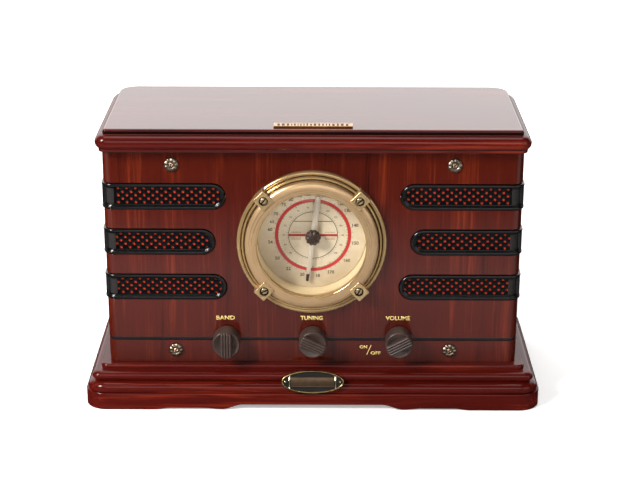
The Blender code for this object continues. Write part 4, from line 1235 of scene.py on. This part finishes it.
def relief(centre, radii, seg, radius, height, base_q, phase=0.0):
    """Closed boss about an axis along y: rows of radius share, height by radius share and angle, and a flat back."""
    bm = bmesh.new()
    rows = []
    for t in radii:
        row = []
        for i in range(seg):
            th = 2 * math.pi * i / seg + phase
            r = radius(t, th)
            row.append(bm.verts.new(front(centre[0] + r * math.cos(th), centre[1] + r * math.sin(th), height(t, th))))
        rows.append(row)
    for a, b in zip(rows, rows[1:]):
        for i in range(seg):
            j = (i + 1) % seg
            bm.faces.new((a[i], a[j], b[j], b[i]))
    tip = bm.verts.new(front(centre[0], centre[1], height(0.0, 0.0)))
    for i in range(seg):
        bm.faces.new((rows[0][i], rows[0][(i + 1) % seg], tip))
    outer = rows[-1]
    back = [bm.verts.new((v.co.x, PANEL_Y - base_q, v.co.z)) for v in outer]
    for i in range(seg):
        j = (i + 1) % seg
        bm.faces.new((outer[i], outer[j], back[j], back[i]))
    bm.faces.new(back)
    return bm


def hub_r(t, th):
    return 6.4 * t * (1 + 0.05 * math.cos(10 * th) * smooth((t - 0.4) / 0.6))


def hub_q(t, th):
    return -4.2 - 2.0 * t**3.2 - 0.25 * (1 - math.cos(10 * th)) * smooth((t - 0.35) / 0.6) + (0.35 * smooth((0.28 - t) / 0.12))


done(mesh_object("hub_cap", relief(DIAL, [0.08, 0.16, 0.24, 0.28, 0.32, 0.4, 0.5, 0.6, 0.7, 0.8, 0.88, 0.94, 0.98, 1.0], 120, hub_r, hub_q, -11.0), hub_look, smooth=60), "dial_indicator", "pointer_hub")

# ---- knobs ------------------------------------------------------------------

for word, x in KNOB_X.items():
    centre = (x, KNOB_Z)
    ang = math.radians(BAR_ANGLE[word])
    prof = [
        (3.4, 0.9), (11.2, 0.9), (11.6, 1.05), (11.95, 1.5), (12.1, 2.2), (12.15, 6.0), (12.2, 10.0), (12.2, 14.6), (12.05, 15.9), (11.75, 16.7),
        (11.3, 17.1), (10.8, 17.0), (9.9, 16.4), (8.4, 15.5), (6.6, 14.7), (4.2, 14.2), (1.8, 14.1), (0.0, 14.1),
    ]
    knob = mesh_object(f"knob_cap_{word}", lathe(centre, prof, 96), knob_look, smooth=40)
    cut(knob, [lathe(centre, [(3.2, -2.0), (3.2, 12.0)], 32)])
    done(knob, KNOB_BODY[word], f"knob_{word}")

    def bar_place(a, b, q, x=x, ang=ang):
        return (x + a * math.cos(ang) - b * math.sin(ang), PANEL_Y - q, KNOB_Z + a * math.sin(ang) + b * math.cos(ang))

    # ribbed bar: columns across (b), rows along (a), ends rolled over the rim
    cols = [i / 44 for i in range(45)]
    half = 4.75
    R = 11.8

    def rib(b):
        """Crest height across the bar: four ribs with grooves between."""
        t = (b + half) / (2 * half) * 4
        frac = t - math.floor(t)
        groove = math.exp(-(((min(frac, 1 - frac)) / 0.16) ** 2))
        shoulder = max(0.0, (abs(b) - (half - 1.0)) / 1.0)
        return 20.45 - 1.05 * groove * (1 if 0.3 < t < 3.7 else 0) - 1.3 * shoulder**2

    bm = bmesh.new()
    rows = []
    params = [-1.0, -1.0, -1.0, -0.985, -0.96, -0.92, -0.86, -0.76, -0.6, -0.4, -0.2, 0.0, 0.2, 0.4, 0.6, 0.76, 0.86, 0.92, 0.96, 0.985, 1.0, 1.0, 1.0]
    for i, t in enumerate(params):
        drop = 0.0
        if i in (0, len(params) - 1):
            drop = 8.4
        elif i in (1, len(params) - 2):
            drop = 5.0
        row = []
        edge = min(1.0, (1 - abs(t)) / 0.14)
        fall = 2.3 * (1 - math.sqrt(max(0.0, 1 - (1 - edge) ** 2)))
        pts = [(-half, 13.4)] + [(-half + 2 * half * c, None) for c in cols] + [(half, 13.4)]
        for b, fixed in pts:
            reach = math.sqrt(R * R - b * b) + 0.18
            top_q = rib(b) - fall - drop
            q = min(fixed, top_q) if fixed is not None else top_q
            if fixed is not None:
                q = min(13.4, top_q - 0.4)
            row.append(bm.verts.new(bar_place(t * reach, b, q)))
        rows.append(row)
    for r0, r1 in zip(rows, rows[1:]):
        for i in range(len(r0) - 1):
            bm.faces.new((r0[i], r0[i + 1], r1[i + 1], r1[i]))
    for row in (rows[0], rows[-1]):
        bm.faces.new(row)
    left = [r[0] for r in rows]
    right = [r[-1] for r in rows]
    # underside
    for i in range(len(rows) - 1):
        bm.faces.new((left[i], left[i + 1], right[i + 1], right[i]))
    bar = mesh_object(f"knob_bar_{word}", bm, knob_look, smooth=50)
    done(bar, KNOB_BODY[word], f"knob_{word}")

# ---- printed words on the panel --------------------------------------------

lettering(
    "panel_words",
    [
        ("BAND", -76.9, 80.4, 3.9, 0.0, 0.0, 16.4),
        ("TUNING", -1.0, 80.4, 3.9, 0.0, 0.0, 19.6),
        ("VOLUME", 75.1, 80.4, 3.9, 0.0, 0.0, 21.7),
        ("ON", 45.0, 52.8, 3.1, 0.0, 0.0, 6.6),
        ("OFF", 56.0, 47.0, 3.1, 0.0, 0.0, 9.0),
    ],
    gold_paint,
    bold=0.022,
)
bm = prism([(47.6, 45.4), (48.3, 45.4), (52.2, 54.6), (51.5, 54.6)], 0.002, 0.05, front)
done(mesh_object("panel_slash", bm, gold_paint, smooth=0))

# ---- studs ------------------------------------------------------------------


def stud_r(t, th):
    return 6.15 * t * (1 + 0.045 * math.cos(9 * th) * smooth((t - 0.35) / 0.5))


def stud_q(t, th):
    lobe = 0.5 + 0.5 * math.cos(9 * th)
    q = 1.0 + 1.55 * math.sqrt(max(0.0, 1 - t**2.6))
    q += 0.42 * lobe * math.exp(-(((t - 0.7) / 0.2) ** 2))
    q -= 0.62 * math.exp(-(((t - 0.42) / 0.07) ** 2))
    flower = 0.5 + 0.5 * math.cos(5 * th)
    q += 0.45 * flower * math.exp(-(((t - 0.2) / 0.12) ** 2))
    return min(q, 3.28)


RADII = [0.04, 0.08, 0.12, 0.16, 0.2, 0.24, 0.28, 0.32, 0.36, 0.39, 0.42, 0.45, 0.48, 0.52, 0.57, 0.62, 0.67, 0.72, 0.77, 0.82, 0.87, 0.91, 0.95, 0.98, 1.0]
for k, (sx, z) in enumerate(((-1, 221.4), (1, 221.4), (-1, 49.7), (1, 49.7))):
    bm = relief((sx * 121.3, z), RADII, 108, stud_r, stud_q, 0.22, phase=0.3 * k)
    for f in bm.faces:
        c = f.calc_center_median()
        if math.hypot(c.x - sx * 121.3, c.z - z) < 2.5 and PANEL_Y - c.y > 1.0:
            f.material_index = 1
    done(mesh_object(f"rosette_{k + 1}", bm, [pewter, pewter_core], smooth=70), stands_for=f"stud_{k + 1}")

# ---- badge ------------------------------------------------------------------

ring = []
for d, n in [(0.0, 0.05), (0.0, 1.5), (0.12, 2.0), (0.45, 2.42), (0.9, 2.6), (1.35, 2.5), (1.75, 2.2), (2.0, 1.7), (2.1, 0.9), (2.1, 0.6)]:
    ring.append([badge_place(a, b, n) for a, b in ellipse(28.0 - d, 10.5 - d, 128)])
inner_floor = [badge_place(a, b, 0.6) for a, b in ellipse(25.5, 8.0, 128)]
bm = loft(ring + [inner_floor])
for f in bm.faces:
    c = f.calc_center_median()
    back_n = (-(c.y - PANEL_Y) - BADGE_C[0]) * math.cos(BADGE_LEAN) + (c.z - BADGE_C[1]) * math.sin(BADGE_LEAN)
    b_ = -(-(c.y - PANEL_Y) - BADGE_C[0]) * math.sin(BADGE_LEAN) + (c.z - BADGE_C[1]) * math.cos(BADGE_LEAN)
    if back_n < 1.2 and (c.x / 26.6) ** 2 + (b_ / 9.1) ** 2 < 1.0:
        f.material_index = 1
done(mesh_object("badge_oval", bm, [badge_ring_look, badge_floor], smooth=50), stands_for="badge")


def badge_box(a0, a1, b0, b1, n0, n1, ease, bm=None):
    loops = []
    for d, n in ((0.0, n0), (0.0, n1 - ease), (ease * 0.3, n1 - ease * 0.3), (ease, n1)):
        loops.append([badge_place(a, b, n) for a, b in ((a0 + d, b0 + d), (a1 - d, b0 + d), (a1 - d, b1 - d), (a0 + d, b1 - d))])
    return loft(loops, bm=bm)


bm = badge_box(-19.2, 19.2, -4.4, 4.4, 0.6, 1.9, 0.25)
badge_box(-19.0, 19.0, 3.7, 4.35, 1.85, 2.2, 0.12, bm)
badge_box(-19.0, 19.0, -4.35, -3.7, 1.85, 2.2, 0.12, bm)
done(mesh_object("badge_plate", bm, badge_plate_look), stands_for="badge")
bm = bmesh.new()
for s in (-1, 1):
    badge_box(min(s * 20.9, s * 19.7), max(s * 20.9, s * 19.7), -5.2, 5.2, 0.6, 2.35, 0.35, bm)
    for b in (-5.3, 5.3):
        sph = bmesh.ops.create_uvsphere(bm, u_segments=16, v_segments=10, radius=1.15)
        for v in sph["verts"]:
            v.co = Vector(badge_place(s * 20.3 + v.co.x, b + v.co.y, 1.55 + v.co.z * 0.9))
    sph = bmesh.ops.create_uvsphere(bm, u_segments=16, v_segments=10, radius=1.25)
    for v in sph["verts"]:
        v.co = Vector(badge_place(s * 24.2 + v.co.x, v.co.y, 1.5 + v.co.z))
done(mesh_object("badge_pins", bm, badge_pin_look, smooth=50), stands_for="badge")

# ---- name plate on the top, with plain marks in place of words ---------------

loops = []
for d, z in ((0.0, 254.1), (0.0, 255.35), (0.1, 255.62), (0.35, 255.78), (0.9, 255.8), (1.0, 255.72), (1.1, 255.6)):
    loops.append([plan(x, q, z) for x, q in rounded(-33.65 + d, 33.65 - d, -10.9 + d, -0.3 - d, 0.5, 0.5, 4)])
bm = loft(loops)
# Painted shade: the plate's upright faces near the front get the darker brown brass.
for f in bm.faces:
    if f.calc_center_median().z < 255.7 and abs(f.normal.z) < 0.7 and PANEL_Y - f.calc_center_median().y > -1.6:
        f.material_index = 1
done(mesh_object("plate_base", bm, [plate_look, plate_front_shade]), stands_for="name_plate")
bm = bmesh.new()
widths = [2.6, 3.0, 2.4, 1.2, 1.8, 1.0, 1.4, 1.4, 1.9, 1.9, 2.6, 2.0, 2.0, 1.2, 1.6, 2.8, 2.2, 3.0, 2.6]
x = -30.4
span = sum(widths)
gap = (60.8 - span) / (len(widths) - 1)
for i, w in enumerate(widths):
    q0 = -7.6 + (0.5 if i % 3 == 0 else 0.0)
    eased([(x, q0), (x + w * 0.75, q0), (x + w * 0.75, -3.2), (x, -3.2)], 255.6, 255.98, plan, 0.12, bm=bm)
    x += w + gap
done(mesh_object("plate_marks", bm, tick_dark), stands_for="name_plate")

# ---- back -------------------------------------------------------------------

NODES["rear_cover"].data.materials.clear()
NODES["rear_cover"].data.materials.append(board_look)
bevel(NODES["rear_cover"], 0.35, 2)
for k, (x, z) in enumerate([(s * 174.5, z) for s in (-1, 1) for z in (60.0, 212.0)]):
    head = lathe((x, z), [(1.5, -136.0), (1.5, -149.45), (3.2, -149.45), (3.4, -149.6), (3.35, -149.85), (3.0, -150.2), (2.3, -150.55), (1.2, -150.75), (0.0, -150.8)], 40)
    screw = mesh_object(f"cover_screw_{k + 1}", head, steel_look)
    bars = []
    for turn in (20 + 31 * k, 110 + 31 * k):
        t = math.radians(turn)

        def cross(u, v, q, x=x, z=z, t=t):
            return (x + u * math.cos(t) - v * math.sin(t), PANEL_Y - q, z + u * math.sin(t) + v * math.cos(t))

        bars.append(prism([(-1.9, -0.35), (1.9, -0.35), (1.9, 0.35), (-1.9, 0.35)], -152.0, -149.9, cross))
    cut(screw, bars)
    done(screw, stands_for=f"rear_screw_{k + 1}")

NODES["mains_inlet"].data.materials.clear()
NODES["mains_inlet"].data.materials.append(inlet_look)
bevel(NODES["mains_inlet"], 0.3, 2)
bm = bmesh.new()
for s in (-1, 1):
    lathe((110 + s * 3.4, 65.0), [(1.15, -138.0), (1.15, -145.6), (0.95, -146.2), (0.4, -146.5), (0.0, -146.55)], 20, bm=bm)
done(mesh_object("inlet_pins", bm, steel_look))

# ---- inside -----------------------------------------------------------------


def relook(look, *names):
    for name in names:
        data = NODES[name].data
        data.materials.clear()
        data.materials.append(look)


relook(cone_material(), "speaker_left", "speaker_right")
relook(circuit_material(), "main_board")
relook(ferrite_look, "ferrite_rod")
relook(iron_look, "transformer")
relook(tin_look, "tuner_can")
relook(phenolic, "band_switch", "volume_pot")
relook(drum_look, "dial_drum")
relook(steel_look, "shaft_band", "shaft_volume", "tuning_shaft")
relook(cord_material(), "dial_cord")
relook(lamp_material(), "dial_lamp")
for name in ("transformer", "tuner_can", "main_board", "band_switch", "volume_pot"):
    bevel(NODES[name], 0.3, 2)

# ---- floor, light, camera ---------------------------------------------------


def floor_material():
    """White sweep. Seen in the lacquer it is brightest a hand's breadth before the radio and falls off into the dark room."""
    k = Look("floor_white")
    n = k.noise(k.co, 3.0, 3.0, 0.5)
    k.set(Base_Color=k.mix(n, (0.90, 0.90, 0.90, 1.0), (0.94, 0.94, 0.94, 1.0)), Roughness=0.9)
    k.put(k.p.inputs["Specular IOR Level"], 0.0)
    x, y, z = k.split(k.co)
    path = k.t.nodes.new("ShaderNodeLightPath")
    far = k.remap(k.math("ADD", k.math("MULTIPLY", x, x), k.math("MULTIPLY", y, y)), 0.04, 1.2, 0.12, 1.0)
    k.set(Emission_Color=(1.0, 1.0, 1.0, 1.0), Emission_Strength=k.math("ADD", 0.22, k.math("MULTIPLY", path.outputs["Is Camera Ray"], far)))
    ahead = k.math("SUBTRACT", PANEL_Y * MM, y)
    near = k.ramp(k.remap(ahead, 0.0, 1.0, 0.0, 1.0), [(0.0, (0.0, 0.0, 0.0, 1)), (0.08, (0.12, 0.12, 0.12, 1)), (0.13, (0.40, 0.40, 0.40, 1)), (0.33, (0.56, 0.55, 0.55, 1)), (0.45, (0.30, 0.30, 0.30, 1)), (0.58, (0.05, 0.05, 0.05, 1)), (0.72, (0.0, 0.0, 0.0, 1))])
    dim = k.t.nodes.new("ShaderNodeEmission")
    k.put(dim.inputs[0], near)
    dim.inputs[1].default_value = 1.0
    pick = k.t.nodes.new("ShaderNodeMixShader")
    k.t.links.new(path.outputs["Is Glossy Ray"], pick.inputs[0])
    k.t.links.new(k.p.outputs[0], pick.inputs[1])
    k.t.links.new(dim.outputs[0], pick.inputs[2])
    out = [n for n in k.t.nodes if n.type == "OUTPUT_MATERIAL"][0]
    k.t.links.new(pick.outputs[0], out.inputs["Surface"])
    return k.m


def floor_mesh():
    bm = bmesh.new()
    rows = [[bm.verts.new((4.0 * math.cos(2 * math.pi * i / 96) * t, 4.0 * math.sin(2 * math.pi * i / 96) * t, -0.0002)) for i in range(96)] for t in (0.1, 0.35, 1.0)]
    for a, b in zip(rows, rows[1:]):
        for i in range(96):
            bm.faces.new((a[i], a[(i + 1) % 96], b[(i + 1) % 96], b[i]))
    bm.faces.new(rows[0])
    mesh = bpy.data.meshes.new("floor")
    bm.to_mesh(mesh)
    bm.free()
    mesh.materials.append(floor_material())
    obj = bpy.data.objects.new("floor", mesh)
    bpy.context.scene.collection.objects.link(obj)
    return obj


floor_mesh()

world = bpy.data.worlds.new("studio")
bpy.context.scene.world = world
world.use_nodes = True
wt = world.node_tree
bg = wt.nodes["Background"]
path = wt.nodes.new("ShaderNodeLightPath")
co = wt.nodes.new("ShaderNodeTexCoord")
sep = wt.nodes.new("ShaderNodeSeparateXYZ")
wt.links.new(co.outputs["Generated"], sep.inputs[0])
rng = wt.nodes.new("ShaderNodeMapRange")  # dark room in front and above, white sweep behind
rng.inputs[1].default_value, rng.inputs[2].default_value = 0.42, 0.66
rng.inputs[3].default_value, rng.inputs[4].default_value = 0.0, 2.75
rng.interpolation_type = "SMOOTHSTEP"
wt.links.new(sep.outputs[1], rng.inputs[0])
low = wt.nodes.new("ShaderNodeMapRange")  # the sweep is dimmer near the horizon
low.inputs[1].default_value, low.inputs[2].default_value = 0.84, 0.92
low.inputs[3].default_value, low.inputs[4].default_value = 1.0, 0.62
wt.links.new(sep.outputs[1], low.inputs[0])
both = wt.nodes.new("ShaderNodeMath")
both.operation = "MULTIPLY"
wt.links.new(rng.outputs[0], both.inputs[0])
wt.links.new(low.outputs[0], both.inputs[1])
pick = wt.nodes.new("ShaderNodeMix")
pick.data_type = "FLOAT"
wt.links.new(path.outputs["Is Camera Ray"], pick.inputs[0])
wt.links.new(both.outputs[0], pick.inputs[2])
pick.inputs[3].default_value = 1.1
wt.links.new(pick.outputs[0], bg.inputs["Strength"])
bg.inputs["Color"].default_value = (1.0, 0.985, 0.975, 1.0)


def lamp(name, where, target, size, power, colour=(1.0, 0.98, 0.96)):
    data = bpy.data.lights.new(name, "AREA")
    data.shape = "RECTANGLE"
    data.size, data.size_y = size
    data.energy = power
    data.color = colour
    obj = bpy.data.objects.new(name, data)
    obj.location = where
    obj.rotation_euler = (Vector(target) - Vector(where)).to_track_quat("-Z", "Y").to_euler()
    bpy.context.scene.collection.objects.link(obj)
    return obj


lamp("key_left", (-1.15, -1.0, 1.15), (0, -0.05, 0.12), (0.45, 0.6), 46.0)
lamp("fill_right", (1.3, -1.2, 0.7), (0, -0.05, 0.12), (1.2, 1.0), 6.0)
lamp("fill_front", (0.1, -1.9, 0.9), (0, -0.05, 0.12), (1.2, 0.8), 7.0)
lamp("overhead", (0.0, 0.1, 1.5), (0, 0, 0.1), (1.1, 0.7), 8.0)

camera = bpy.data.cameras.new("camera")
camera.lens, camera.sensor_width = 93.8, 36.0
camera.clip_start = 0.05
cam = bpy.data.objects.new("camera", camera)
bpy.context.scene.collection.objects.link(cam)
cam.matrix_world = Matrix.Translation((0.0061, -1.4274, 0.6388)) @ Matrix.Rotation(math.radians(70.4), 4, "X") @ Matrix.Rotation(math.radians(0.2), 4, "Z")
bpy.context.scene.camera = cam
bpy.context.scene.view_settings.view_transform = "Standard"
